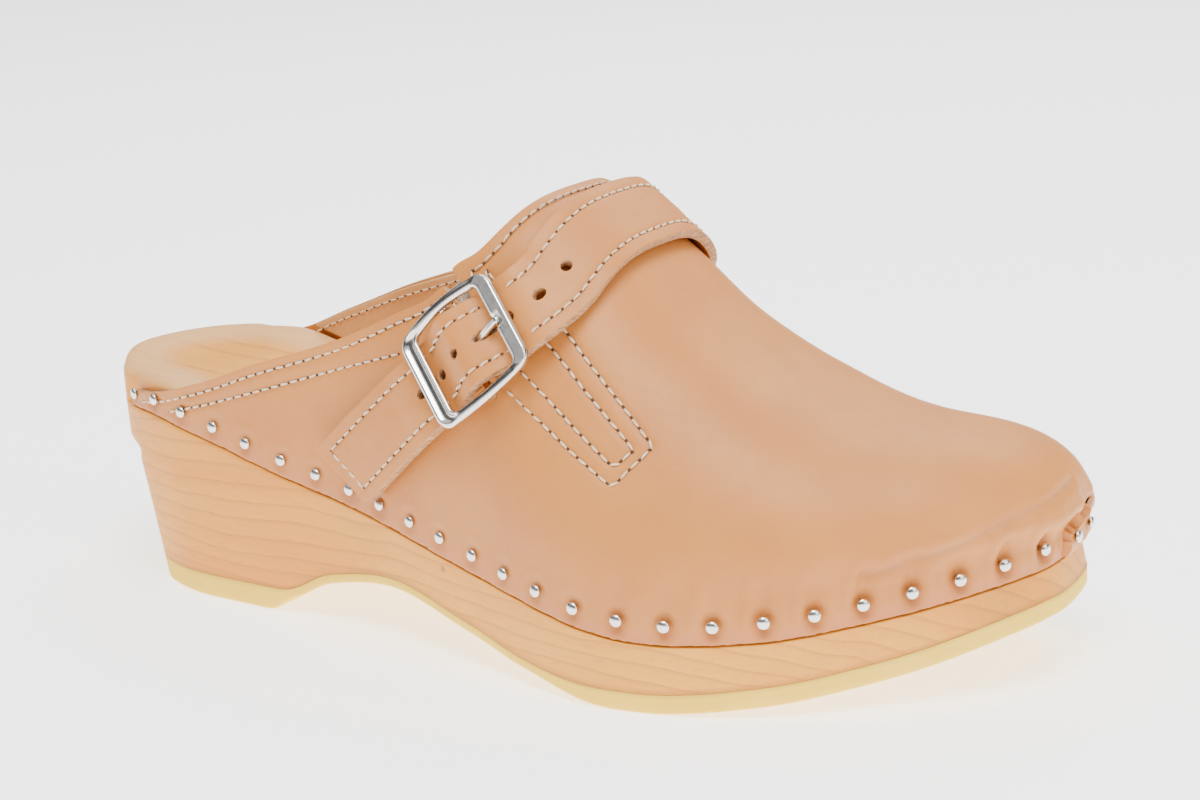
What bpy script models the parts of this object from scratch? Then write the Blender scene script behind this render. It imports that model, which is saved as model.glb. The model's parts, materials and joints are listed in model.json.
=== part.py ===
"""A right-foot wooden clog: a carved wooden sole on a rubber outsole, a nailed leather upper with an
elastic gore behind its side slit, and an instep strap held by a three-bar buckle on its lateral side.

X runs from the heel to the toe, +Y is the medial side and Z is up. Everything is modelled with the
back of the heel at x = 0, then stood on z = 0 with the centre of its bounding box on the Z axis.
"""

import math

import bmesh
import bpy
import numpy as np
from mathutils import Matrix, Vector
from mathutils.bvhtree import BVHTree

# Driving dimensions, in metres.
SOLE_LENGTH = 0.271
BALL_WIDTH = 0.101
HEEL_WIDTH = 0.071
HEEL_LEDGE = 0.0480
BALL_LEDGE = 0.0170
TOE_LEDGE = 0.0270
RIM_ABOVE_LEDGE = 0.0090
ARCH_HEIGHT = 0.0162
TOE_SPRING = 0.0155
HEEL_RUBBER = 0.0065
ARCH_RUBBER = 0.0028
BALL_RUBBER = 0.0050
HEEL_SLANT = 0.0080
GROOVE_HEIGHT = 0.0350
GROOVE_DEPTH = 0.0042
GROOVE_STEP = 0.0024
GROOVE_HALF = 0.0026
SIDE_TAPER = 0.0012
DISH_DEPTH = 0.0030
RIM_ROUND = 0.0012

LEATHER = 0.0022
LINING = 0.0010
GORE = 0.0010
INSTEP_HEIGHT = 0.1095
TOE_BOX_HEIGHT = 0.0545
TOE_REACH = 0.0390
TOE_BULGE = 0.0035
CREST_SHIFT = 0.0060
SLIT_WIDTH = 0.0034
GORE_WIDTH = 0.0180
GORE_MARGIN = 0.0020

STRAP_WIDTH = 0.0200
STRAP = 0.0026
STRAP_HOLE = 0.0026
STRAP_HOLE_PITCH = 0.0075
BUCKLE_LENGTH = 0.0300
BUCKLE_OPENING = 0.0200
BUCKLE_THICKNESS = 0.0020
SIDE_BAR = 0.0024
FRONT_BAR = 0.0045
PRONG = 0.0014
CENTRE_BAR = 0.0020
LUG = 0.0022
NOTCH_DEPTH = 0.0009
NOTCH_LENGTH = 0.0026
EDGE_SOFTENING = 0.0004
CHAPE = 0.0012
CHAPE_WIDTH = 0.0160
CHAPE_LENGTH = 0.0260

NAIL_HEAD = 0.0031
NAIL_HEAD_HEIGHT = 0.0009
NAIL_SHANK = 0.0014
NAIL_LENGTH = 0.0115
NAIL_ABOVE_LEDGE = 0.0050
NAIL_DROP_AT_HEEL = 0.0018
LATERAL_PITCH = 0.01124
LATERAL_NAILS = 25
MEDIAL_NAILS = 24
FIRST_NAIL_ARC = 0.0440

GUARD = 0.0018
GUARD_HEIGHT = 0.0100
GUARD_SPREAD = math.radians(9)
GUARD_CENTRE = math.radians(185)

CLEARANCE = 0.0003
FACET_ALLOWANCE = 0.0003
NAIL_CLEARANCE = 0.0005
STRAP_LIFT = 0.0006
STRAP_END_INSET = 0.0070

# The flat faces of the sole close onto a line this share of its length.
SPINE_SHARE = 0.80

# How finely the pieces are faceted.
COLUMNS = 72
UPPER_START = 7
UPPER_ROWS = 12
NAIL_SIDES = 6

# The outline of the sole, from the back of the heel round the lateral side to the toe, and back
# along the medial side: share of the length, share of the width, and the width it is a share of.
OUTLINE = (
    (0.000, 0.07, HEEL_WIDTH),
    (0.030, -0.17, HEEL_WIDTH),
    (0.076, -0.35, HEEL_WIDTH),
    (0.148, -0.465, HEEL_WIDTH),
    (0.247, -0.50, HEEL_WIDTH),
    (0.376, -0.515, HEEL_WIDTH),
    (0.531, -0.455, BALL_WIDTH),
    (0.683, -0.54, BALL_WIDTH),
    (0.815, -0.448, BALL_WIDTH),
    (0.908, -0.257, BALL_WIDTH),
    (0.970, -0.074, BALL_WIDTH),
    (1.000, 0.120, BALL_WIDTH),
    (0.990, 0.305, BALL_WIDTH),
    (0.920, 0.392, BALL_WIDTH),
    (0.775, 0.455, BALL_WIDTH),
    (0.646, 0.455, BALL_WIDTH),
    (0.498, 0.381, BALL_WIDTH),
    (0.350, 0.465, HEEL_WIDTH),
    (0.221, 0.479, HEEL_WIDTH),
    (0.110, 0.505, HEEL_WIDTH),
    (0.040, 0.394, HEEL_WIDTH),
)
LATERAL_POINTS = 12

# Curves over the length of the sole, as (share of the length, value).
LEDGE_FALL = (
    (0.0, 1.0),
    (0.12, 1.0),
    (0.20, 0.88),
    (0.32, 0.61),
    (0.45, 0.39),
    (0.60, 0.16),
    (0.74, 0.0),
    (1.0, 0.0),
)
LEDGE_TOE = ((0.0, 0.0), (0.74, 0.0), (0.82, 0.11), (0.90, 0.41), (0.96, 0.74), (1.0, 1.0))
WOOD_BOTTOM = (
    (0.0, HEEL_RUBBER),
    (0.285, HEEL_RUBBER),
    (0.345, 0.35 * HEEL_RUBBER + 0.65 * ARCH_HEIGHT),
    (0.43, ARCH_HEIGHT),
    (0.53, 0.45 * BALL_RUBBER + 0.55 * ARCH_HEIGHT),
    (0.60, 0.83 * BALL_RUBBER + 0.17 * ARCH_HEIGHT),
    (0.68, BALL_RUBBER),
    (0.72, BALL_RUBBER),
    (0.82, BALL_RUBBER + 0.16 * TOE_SPRING),
    (0.90, BALL_RUBBER + 0.42 * TOE_SPRING),
    (1.0, BALL_RUBBER + TOE_SPRING),
)
RUBBER = (
    (0.0, HEEL_RUBBER),
    (0.268, HEEL_RUBBER),
    (0.297, ARCH_RUBBER),
    (0.60, ARCH_RUBBER),
    (0.70, BALL_RUBBER),
    (1.0, BALL_RUBBER),
)
CREST = (
    (0.0, INSTEP_HEIGHT + 0.004),
    (0.45, INSTEP_HEIGHT + 0.003),
    (0.555, INSTEP_HEIGHT),
    (0.635, 0.75 * INSTEP_HEIGHT + 0.25 * TOE_BOX_HEIGHT),
    (0.700, 0.48 * INSTEP_HEIGHT + 0.52 * TOE_BOX_HEIGHT),
    (0.768, 0.25 * INSTEP_HEIGHT + 0.75 * TOE_BOX_HEIGHT),
    (0.860, 0.07 * INSTEP_HEIGHT + 0.93 * TOE_BOX_HEIGHT),
    (0.960, TOE_BOX_HEIGHT),
    (1.03, 0.92 * TOE_BOX_HEIGHT),
)
BOXINESS = (
    (0.0, 3.0),
    (0.35, 3.2),
    (0.52, 3.4),
    (0.64, 2.8),
    (0.72, 2.6),
    (0.82, 3.0),
    (1.0, 3.6),
)
LEAN = ((0.0, 0.0), (0.20, 0.02), (0.42, 0.08), (0.62, 0.17), (0.80, 0.04), (1.0, 0.0))
BULGE = ((0.0, 0.0), (0.45, 0.0), (0.70, 0.25), (0.85, 0.45), (1.0, 1.0))

# The opening's edge in side view, as (x, z) in metres: the lateral topline, then the vamp's edge.
TOPLINE = (
    (0.0100, 0.0510),
    (0.0320, 0.0532),
    (0.0540, 0.0586),
    (0.0750, 0.0659),
    (0.1010, 0.0742),
    (0.1190, 0.0820),
    (0.1345, 0.0905),
)
VAMP_EDGE = ((0.1360, 0.0950), (0.1425, 0.1020), (0.152, 0.1095), (0.160, 0.1200))
MEDIAL_RISE = 0.0105

# The slit and the strap in side view.
SLIT_TOP = (0.1355, 0.0930)
SLIT_END = (0.1590, 0.0770)
GORE_END = (0.1830, 0.0500)
STRAP_LINE = (
    (0.1040, 0.0400),
    (0.1270, 0.0588),
    (0.1480, 0.0761),
    (0.1585, 0.0850),
    (0.1645, 0.0930),
    (0.1660, 0.1050),
)
BUCKLE_CENTRE = (0.1480, 0.0768)
TAIL_SKEW = 0.0070

# The middle of the strap above the upper near the buckle, as (distance from the centre bar, height).
STRAP_RISE = (
    (-0.0130, 0.0033),
    (-0.0092, 0.0034),
    (-0.0050, 0.0054),
    (0.0, 0.0075),
    (0.0054, 0.0054),
    (0.0099, 0.0034),
    (0.0130, 0.0033),
)
BAR_HEIGHT = 0.0033
FRAME_BOTTOM = 0.0051

COLOURS = {
    "wood": ((0.89, 0.58, 0.31, 1.0), 0.6, 0.0),
    "rubber": ((0.84, 0.68, 0.34, 1.0), 0.7, 0.0),
    "leather": ((0.72, 0.44, 0.27, 1.0), 0.6, 0.0),
    "lining": ((0.78, 0.56, 0.35, 1.0), 0.8, 0.0),
    "elastic": ((0.86, 0.76, 0.60, 1.0), 0.9, 0.0),
    "nickel": ((0.75, 0.75, 0.75, 1.0), 0.15, 1.0),
    "steel": ((0.66, 0.66, 0.65, 1.0), 0.25, 1.0),
}


# ---------------------------------------------------------------- curves and surfaces


def smoothstep(low, high, value):
    t = min(max((value - low) / (high - low), 0.0), 1.0)
    return t * t * (3 - 2 * t)


def hermite(knots, values, tangents, x):
    """The cubic through the knots with these tangents, at x."""
    i = int(np.clip(np.searchsorted(knots, x) - 1, 0, len(knots) - 2))
    step = knots[i + 1] - knots[i]
    t = (x - knots[i]) / step
    return (
        (1 + 2 * t) * (1 - t) ** 2 * values[i]
        + t * (1 - t) ** 2 * step * tangents[i]
        + t * t * (3 - 2 * t) * values[i + 1]
        + t * t * (t - 1) * step * tangents[i + 1]
    )


def curve_through(points):
    """A smooth function through (x, value) points, which doesn't overshoot them."""
    knots = [x for x, _ in points]
    values = [value for _, value in points]
    steps = [b - a for a, b in zip(knots, knots[1:])]
    slopes = [(b - a) / step for a, b, step in zip(values, values[1:], steps)]
    tangents = [slopes[0]]
    for i in range(1, len(slopes)):
        before, after = slopes[i - 1], slopes[i]
        if before * after <= 0:
            tangents.append(0.0)
            continue
        near = 2 * steps[i] + steps[i - 1]
        far = steps[i] + 2 * steps[i - 1]
        tangents.append((near + far) / (near / before + far / after))
    tangents.append(slopes[-1])
    return lambda x: hermite(knots, values, tangents, min(max(x, knots[0]), knots[-1]))


def closed_outline():
    """The y of the sole's edge as a function of the angle that runs round it from the heel."""
    knots, values = [], []
    for i, (share, side, width) in enumerate(OUTLINE):
        angle = math.acos(1 - 2 * share)
        knots.append(angle if i < LATERAL_POINTS else 2 * math.pi - angle)
        values.append(side * width)
    turn = 2 * math.pi
    knots = [knots[-1] - turn] + knots + [turn, knots[1] + turn]
    values = [values[-1]] + values + [values[0], values[1]]
    tangents = [0.0]
    for i in range(1, len(knots) - 1):
        before, after = knots[i] - knots[i - 1], knots[i + 1] - knots[i]
        slope_before = (values[i] - values[i - 1]) / before
        slope_after = (values[i + 1] - values[i]) / after
        tangents.append((slope_before * after + slope_after * before) / (before + after))
    tangents.append(0.0)
    return lambda angle: hermite(knots, values, tangents, angle % turn)


edge_y = closed_outline()
ledge_fall = curve_through(LEDGE_FALL)
ledge_toe = curve_through(LEDGE_TOE)
wood_bottom = curve_through(WOOD_BOTTOM)
rubber_depth = curve_through(RUBBER)
crest_height = curve_through(CREST)
boxiness = curve_through(BOXINESS)
bulge_share = curve_through(BULGE)
inward_lean = curve_through(LEAN)


def edge(angle):
    """The sole's edge seen from above, at this angle round it."""
    return Vector((SOLE_LENGTH * (1 - math.cos(angle)) / 2, edge_y(angle)))


def edge_normal(angle):
    along = edge(angle + 0.01) - edge(angle - 0.01)
    return Vector((along.y, -along.x)).normalized()


def angle_at(x):
    """The angle of the lateral edge at this x."""
    return math.acos(1 - 2 * min(max(x / SOLE_LENGTH, 0.0), 1.0))


def middle_y(x):
    angle = angle_at(x)
    return (edge_y(angle) + edge_y(-angle)) / 2


def ledge_z(x):
    share = x / SOLE_LENGTH
    fall = (HEEL_LEDGE - BALL_LEDGE) * ledge_fall(share)
    return BALL_LEDGE + fall + (TOE_LEDGE - BALL_LEDGE) * ledge_toe(share)


def rim_z(x):
    return ledge_z(x) + RIM_ABOVE_LEDGE


def wood_bottom_z(x):
    return wood_bottom(x / SOLE_LENGTH)


def rubber_bottom_z(x):
    return max(0.0, wood_bottom_z(x) - rubber_depth(x / SOLE_LENGTH))


def crest_z(x):
    return crest_height(x / SOLE_LENGTH)


def upper_point(angle, rise):
    """The outside of the upper: rise 0 is its lower edge at this angle, and rise 1 is the crest."""
    start = edge(angle)
    outward = edge_normal(angle)
    share = start.x / SOLE_LENGTH
    foot = ledge_z(start.x) + CLEARANCE
    top_x = start.x - TOE_REACH * smoothstep(0.60, 1.0, share)
    top = Vector((top_x, middle_y(top_x) + CREST_SHIFT))
    power = boxiness(share)
    turn = rise * math.pi / 2
    reach = (math.cos(turn) ** power + math.sin(turn) ** power) ** (-1 / power)
    inward, up = reach * math.cos(turn), reach * math.sin(turn)
    bulge = TOE_BULGE * bulge_share(share) * smoothstep(0.22, 0.50, up)
    lean = 1 - inward_lean(share) * smoothstep(0.18, 0.80, up)
    plan = top + (start + outward * bulge - top) * max(inward, 0.0) * lean
    return Vector((plan.x, plan.y, foot + (crest_z(plan.x) - foot) * up))


def upper_normal(angle, rise):
    """Outward, at a point below the crest."""
    along = upper_point(angle + 0.01, rise) - upper_point(angle - 0.01, rise)
    upward = upper_point(angle, rise + 0.005) - upper_point(angle, rise - 0.005)
    return along.cross(upward).normalized()


def rise_at(angle, height):
    """The rise at which the upper reaches this height above the ground."""
    start = edge(angle)
    share = start.x / SOLE_LENGTH
    power = boxiness(share)
    foot = ledge_z(start.x) + CLEARANCE
    up = min(max((height - foot) / (crest_z(start.x) - foot), 0.0), 1.0)
    inward = (1 - up**power) ** (1 / power)
    return math.atan2(up, inward) / (math.pi / 2)


# ---------------------------------------------------------------- scene helpers


def clear_scene():
    for obj in list(bpy.data.objects):
        bpy.data.objects.remove(obj, do_unlink=True)


def new_collection(name):
    collection = bpy.data.collections.new(name)
    bpy.context.scene.collection.children.link(collection)
    return collection


def make_materials():
    made = {}
    for name, (colour, roughness, metallic) in COLOURS.items():
        material = bpy.data.materials.new(name)
        material.use_nodes = True
        shader = material.node_tree.nodes["Principled BSDF"]
        shader.inputs["Base Color"].default_value = colour
        shader.inputs["Roughness"].default_value = roughness
        shader.inputs["Metallic"].default_value = metallic
        made[name] = material
    return made


clear_scene()
PARTS = new_collection("wooden_clog")
CUTTERS = new_collection("cutters")
MATERIALS = make_materials()
ROOT = bpy.data.objects.new("clog_root", None)
PARTS.objects.link(ROOT)


def mesh_from(bm, name, in_triangles=False):
    """The mesh. Pieces whose curved faces lie against each other are both split the same way."""
    bmesh.ops.remove_doubles(bm, verts=bm.verts, dist=1e-6)
    if in_triangles:
        bmesh.ops.triangulate(bm, faces=bm.faces, quad_method="SHORT_EDGE")
    bmesh.ops.recalc_face_normals(bm, faces=bm.faces)
    mesh = bpy.data.meshes.new(name)
    bm.to_mesh(mesh)
    bm.free()
    return mesh


def add_part(name, mesh, material, matrix=None, parent=None):
    obj = bpy.data.objects.new(name, mesh)
    PARTS.objects.link(obj)
    mesh.materials.clear()
    mesh.materials.append(MATERIALS[material])
    obj.parent = parent or ROOT
    if matrix is not None:
        obj.matrix_local = matrix
    mesh.shade_smooth()
    mesh.set_sharp_from_angle(angle=math.radians(35))
    return obj


def add_cutter(name, mesh):
    obj = bpy.data.objects.new(name, mesh)
    CUTTERS.objects.link(obj)
    obj.parent = ROOT
    obj.hide_render = True
    obj.display_type = "WIRE"
    return obj


def boolean(obj, cutter, operation="DIFFERENCE", solver="EXACT"):
    modifier = obj.modifiers.new(cutter.name, "BOOLEAN")
    modifier.operation = operation
    modifier.solver = solver
    modifier.object = cutter


def loft(bm, rings, closed=True):
    """Quads between rings of the same number of points."""
    rows = [[bm.verts.new(point) for point in ring] for ring in rings]
    count = len(rows[0])
    for lower, upper in zip(rows, rows[1:]):
        for i in range(count if closed else count - 1):
            j = (i + 1) % count
            bm.faces.new((lower[i], lower[j], upper[j], upper[i]))
    return rows


def prism(name, outline, low_y, high_y):
    """A side-view outline of (x, z) points, extruded along Y."""
    bm = bmesh.new()
    near = [bm.verts.new((x, low_y, z)) for x, z in outline]
    far = [bm.verts.new((x, high_y, z)) for x, z in outline]
    bm.faces.new(near)
    bm.faces.new(list(reversed(far)))
    for i in range(len(outline)):
        j = (i + 1) % len(outline)
        bm.faces.new((near[i], far[i], far[j], near[j]))
    return mesh_from(bm, name)


# ---------------------------------------------------------------- sole and outsole


def column_angles():
    return [2 * math.pi * i / COLUMNS for i in range(COLUMNS)]


def heel_shift(x, z):
    """How far forward the heel's back and its groove move a point of the side, at this height."""
    share = x / SOLE_LENGTH
    slant = 1 - smoothstep(0.06, 0.22, share)
    groove = 1 - smoothstep(0.055, 0.10, share)
    if z >= GROOVE_HEIGHT + GROOVE_HALF:
        return 0.0
    if z > GROOVE_HEIGHT - GROOVE_HALF / 2:
        return GROOVE_DEPTH * groove
    lean = (HEEL_SLANT - GROOVE_STEP) * (1 - z / GROOVE_HEIGHT)
    return GROOVE_STEP * groove + lean * slant


def side_point(angle, height, taper, inset=0.0):
    """A point of the side wall: the outline, tapered in towards the ground, and out at the toe."""
    start = edge(angle)
    taper *= 1 - 2.2 * smoothstep(0.88, 1.0, start.x / SOLE_LENGTH)
    place = start - edge_normal(angle) * (taper + inset)
    return Vector((place.x + heel_shift(start.x, height), place.y, 0.0))


def inner_rings(outer, shares, height):
    """Rings from an outer ring in to a line along the middle, each at the height its place gives."""
    rings = []
    for share in shares:
        ring = []
        for i, point in enumerate(outer):
            mirror = outer[-i % len(outer)]
            middle = SOLE_LENGTH / 2
            spine_x = middle + ((point.x + mirror.x) / 2 - middle) * SPINE_SHARE
            spine = Vector((spine_x, middle_y(spine_x), 0.0))
            place = point.lerp(spine, share)
            place.z = height(place.x, share)
            ring.append(place)
        rings.append(ring)
    return rings


def bottom_ring(inset, height):
    """A ring on the underside, whose wall heights are read at the heel."""
    ring = []
    for angle in column_angles():
        start = edge(angle)
        at_heel = start.x < 0.3 * SOLE_LENGTH
        point = side_point(angle, height(start.x) if at_heel else 0.0, SIDE_TAPER, inset)
        point.z = height(point.x)
        ring.append(point)
    return ring


def wall_ring(height_at_heel):
    """A ring round the side wall, at the same share of its height all round."""
    low, high = wood_bottom_z(0.0), ledge_z(0.0)
    share = (height_at_heel - low) / (high - low)
    ring = []
    for angle in column_angles():
        start = edge(angle)
        low, high = wood_bottom_z(start.x), ledge_z(start.x)
        point = side_point(angle, height_at_heel, SIDE_TAPER * (1 - share))
        point.z = low + (high - low) * share
        ring.append(point)
    return ring


def rebate_depth(column):
    """The leather is let into the sole's edge, all round but for the back of the heel."""
    steps_from_back = min(column, COLUMNS - column)
    return LEATHER + CLEARANCE if steps_from_back >= UPPER_START - 1 else 0.0


def top_ring(inset, above_ledge, rebated=True):
    ring = []
    for column, angle in enumerate(column_angles()):
        depth = inset + (rebate_depth(column) if rebated else 0.0)
        start = edge(angle)
        place = start - edge_normal(angle) * depth
        ring.append(Vector((place.x, place.y, ledge_z(start.x) + above_ledge)))
    return ring


def make_sole():
    bm = bmesh.new()
    underside = bottom_ring(0.0, wood_bottom_z)
    rings = list(reversed(inner_rings(underside, (0.35, 0.7, 1.0), lambda x, share: wood_bottom_z(x))))
    rings.append(underside)
    for height in (GROOVE_HEIGHT - GROOVE_HALF, GROOVE_HEIGHT, GROOVE_HEIGHT + GROOVE_HALF):
        rings.append(wall_ring(height))
    rings.append(top_ring(0.0, 0.0, rebated=False))
    rings.append(top_ring(0.0, 0.0))
    rings.append(top_ring(0.0, RIM_ABOVE_LEDGE - RIM_ROUND))
    rim = top_ring(RIM_ROUND, RIM_ABOVE_LEDGE)
    rings.append(rim)

    def dished(x, share):
        return rim_z(x) - DISH_DEPTH * smoothstep(0.0, 0.8, share)

    rings += inner_rings(rim, (0.15, 0.4, 0.7, 1.0), dished)
    loft(bm, rings)
    return add_part("wooden_sole", mesh_from(bm, "wooden_sole", in_triangles=True), "wood")


def make_outsole():
    bm = bmesh.new()
    ground = bottom_ring(0.0006, rubber_bottom_z)
    lip = [Vector((p.x, p.y, rubber_bottom_z(p.x) + 0.0008)) for p in bottom_ring(0.0, rubber_bottom_z)]
    seat = bottom_ring(0.0, lambda x: wood_bottom_z(x) - CLEARANCE)
    rings = list(reversed(inner_rings(ground, (0.35, 0.7, 1.0), lambda x, share: rubber_bottom_z(x))))
    rings += [ground, lip, seat]
    rings += inner_rings(seat, (0.35, 0.7, 1.0), lambda x, share: wood_bottom_z(x) - CLEARANCE)
    loft(bm, rings)
    return add_part("outsole", mesh_from(bm, "outsole", in_triangles=True), "rubber")


# ---------------------------------------------------------------- upper, lining and gore


def upper_surface(columns_per_step=1, rows=UPPER_ROWS):
    """The outside of the upper as an open mesh, before its opening is cut."""
    bm = bmesh.new()
    first, last = UPPER_START * columns_per_step, (COLUMNS - UPPER_START) * columns_per_step
    step = 2 * math.pi / (COLUMNS * columns_per_step)
    rings = []
    for row in range(rows + 1):
        rings.append([upper_point(column * step, row / rows) for column in range(first, last + 1)])
    loft(bm, rings, closed=False)
    bmesh.ops.remove_doubles(bm, verts=bm.verts, dist=1e-6)
    bmesh.ops.recalc_face_normals(bm, faces=bm.faces)
    return bm


def surface_tree(columns_per_step=1, rows=UPPER_ROWS):
    """The upper's outside, for laying pieces on it."""
    bm = upper_surface(columns_per_step, rows)
    bm.faces.ensure_lookup_table()
    bm.normal_update()
    tree = BVHTree.FromBMesh(bm)
    bm.free()
    return tree


def opening_cutter():
    line = list(TOPLINE) + list(VAMP_EDGE)
    high, back = INSTEP_HEIGHT + 0.03, -0.03
    outline = [(back, TOPLINE[0][1])] + line + [(VAMP_EDGE[-1][0], high), (back, high)]
    mesh = prism("opening_cutter", outline, -BALL_WIDTH, BALL_WIDTH)
    for vertex in mesh.vertices:
        x, y, z = vertex.co
        if y > 0 and z < TOPLINE[-1][1]:
            vertex.co.z = z + MEDIAL_RISE * smoothstep(0.02, 0.05, x) * (1 - smoothstep(0.10, 0.14, x))
    return add_cutter("opening_cutter", mesh)


def slit_cutter():
    along = (Vector(SLIT_END) - Vector(SLIT_TOP)).normalized()
    across = Vector((-along.y, along.x))
    start = Vector(SLIT_TOP) - along * 0.004
    end = Vector(SLIT_END)
    wide, narrow = SLIT_WIDTH / 2, SLIT_WIDTH / 4
    outline = [start + across * wide, start - across * wide, end - across * narrow, end + across * narrow]
    return add_cutter("slit_cutter", prism("slit_cutter", [tuple(p) for p in outline], -BALL_WIDTH, -0.02))


def gore_frame():
    """The gore patch in side view: its top, its direction, across it, and its length."""
    along = (Vector(GORE_END) - Vector(SLIT_TOP)).normalized()
    across = Vector((-along.y, along.x))
    start = Vector(SLIT_TOP) + along * 0.002
    return start, along, across, (Vector(GORE_END) - start).length


def gore_window_cutter():
    start, along, across, length = gore_frame()
    half = GORE_WIDTH / 2 + GORE_MARGIN
    top, end = start - along * 0.03, start + along * (length + GORE_MARGIN)
    outline = [top + across * half, top - across * half, end - across * half, end + across * half]
    return add_cutter("gore_window", prism("gore_window", [tuple(p) for p in outline], -BALL_WIDTH, -0.010))


def make_upper(opening, slit, nail_holes):
    mesh = mesh_from(upper_surface(), "upper")
    obj = add_part("upper", mesh, "leather")
    solidify = obj.modifiers.new("leather", "SOLIDIFY")
    solidify.thickness = LEATHER
    solidify.offset = -1
    boolean(obj, opening)
    boolean(obj, slit)
    boolean(obj, nail_holes)
    return obj


LINING_LAST = 24
LINING_ROWS = 7


def lining_point(angle, share, depth):
    low = rise_at(angle, rim_z(edge(angle).x) + 3 * CLEARANCE)
    rise = low + (0.985 - low) * share
    return upper_point(angle, rise) - upper_normal(angle, rise) * depth


def make_lining(opening, window):
    """A thin shell just inside the quarters and the back of the vamp, from side to side."""
    step = 2 * math.pi / COLUMNS
    sheets = []
    outside = LEATHER + CLEARANCE + FACET_ALLOWANCE
    for depth in (outside, outside + LINING):
        sheet = []
        for column in range(UPPER_START, LINING_LAST + 1):
            angle = column * step
            shares = [row / LINING_ROWS for row in range(LINING_ROWS + 1)]
            arch = [lining_point(angle, share, depth) for share in shares]
            arch += [lining_point(-angle, share, depth) for share in reversed(shares)]
            sheet.append(arch)
        sheets.append(sheet)
    bm = bmesh.new()
    outer = loft(bm, sheets[0], closed=False)
    inner = loft(bm, sheets[1], closed=False)
    close_edges(bm, outer, inner)
    obj = add_part("quarter_lining", mesh_from(bm, "quarter_lining"), "lining")
    boolean(obj, opening)
    boolean(obj, window)
    return obj


def close_edges(bm, outer, inner):
    """Walls round the border of two matching sheets."""
    last_row, last = len(outer) - 1, len(outer[0]) - 1
    border = [(0, i) for i in range(last)]
    border += [(i, last) for i in range(last_row)]
    border += [(last_row, i) for i in range(last, 0, -1)]
    border += [(i, 0) for i in range(last_row, 0, -1)]
    for (row_a, a), (row_b, b) in zip(border, border[1:] + border[:1]):
        bm.faces.new((outer[row_a][a], outer[row_b][b], inner[row_b][b], inner[row_a][a]))


def make_gore(tree):
    """Elastic behind the slit, laid on the inside of the upper."""
    start, along, across, length = gore_frame()
    sheets = []
    outside = LEATHER + CLEARANCE + FACET_ALLOWANCE
    for depth in (outside, outside + GORE):
        sheet = []
        for step in range(11):
            row = []
            for side in (-1, -0.33, 0.33, 1):
                place = start + along * (length * step / 10) + across * (side * GORE_WIDTH / 2)
                hit, normal, _, _ = tree.ray_cast(Vector((place.x, -0.2, place.y)), Vector((0, 1, 0)))
                row.append(hit - outward(normal) * depth)
            sheet.append(row)
        sheets.append(sheet)
    bm = bmesh.new()
    outer = loft(bm, sheets[0], closed=False)
    inner = loft(bm, sheets[1], closed=False)
    close_edges(bm, outer, inner)
    return add_part("elastic_gore", mesh_from(bm, "elastic_gore"), "elastic")


def outward(normal):
    """A surface normal on the lateral side, turned away from the foot."""
    return normal if normal.y < 0 else -normal


# ---------------------------------------------------------------- nails and toe guard


def arc_angles(arcs, side):
    """The angles at these arc lengths from the back of the heel, round one side (-1 lateral, 1 medial)."""
    found, travelled, angle, step = [], 0.0, 0.0, 0.002
    for arc in arcs:
        while travelled < arc:
            travelled += (edge(-side * (angle + step)) - edge(-side * angle)).length
            angle += step
        found.append(-side * angle)
    return found


def side_length(side):
    angles = [i * math.pi / 400 for i in range(401)]
    return sum((edge(-side * b) - edge(-side * a)).length for a, b in zip(angles, angles[1:]))


def nail_places():
    """(name, angle) of each nail: the lateral row runs on to the toe, and the medial row fills the rest."""
    lateral = [FIRST_NAIL_ARC + i * LATERAL_PITCH for i in range(LATERAL_NAILS)]
    room = side_length(-1) + side_length(1) - FIRST_NAIL_ARC - lateral[-1]
    pitch = room / MEDIAL_NAILS
    medial = [FIRST_NAIL_ARC + i * pitch for i in range(MEDIAL_NAILS)]
    places = [(f"nail_lateral_{i + 1:02d}", angle) for i, angle in enumerate(arc_angles(lateral, -1))]
    places += [(f"nail_medial_{i + 1:02d}", angle) for i, angle in enumerate(arc_angles(medial, 1))]
    return places


def on_guard(angle):
    return abs((angle % (2 * math.pi)) - GUARD_CENTRE) < GUARD_SPREAD + math.radians(1)


def nail_matrix(angle):
    """A nail's frame: its head faces +Z, outward, and its origin is under the head."""
    start = edge(angle)
    outward_2d = edge_normal(angle)
    proud = CLEARANCE + FACET_ALLOWANCE + (GUARD + CLEARANCE if on_guard(angle) else 0.0)
    place = start + outward_2d * proud
    axis = Vector((outward_2d.x, outward_2d.y, 0.0))
    turn = axis.to_track_quat("Z", "Y").to_matrix().to_4x4()
    drop = NAIL_DROP_AT_HEEL * (1 - smoothstep(0.02, 0.20, start.x / SOLE_LENGTH))
    height = ledge_z(start.x) + NAIL_ABOVE_LEDGE - drop
    return Matrix.Translation((place.x, place.y, height)) @ turn


def turned_mesh(name, profile, sides):
    """A solid of revolution about Z from an (r, z) profile that runs down its outer side."""
    mesh = bpy.data.meshes.new(name + "_profile")
    edges = [(i, i + 1) for i in range(len(profile) - 1)]
    mesh.from_pydata([(r, 0.0, z) for r, z in profile], edges, [])
    obj = bpy.data.objects.new(name + "_profile", mesh)
    CUTTERS.objects.link(obj)
    screw = obj.modifiers.new("turn", "SCREW")
    screw.steps = screw.render_steps = sides
    screw.use_merge_vertices = True
    screw.merge_threshold = 1e-6
    bpy.context.view_layer.update()
    turned = bpy.data.meshes.new_from_object(obj.evaluated_get(bpy.context.evaluated_depsgraph_get()))
    bpy.data.objects.remove(obj, do_unlink=True)
    bm = bmesh.new()
    bm.from_mesh(turned)
    return mesh_from(bm, name)


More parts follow.
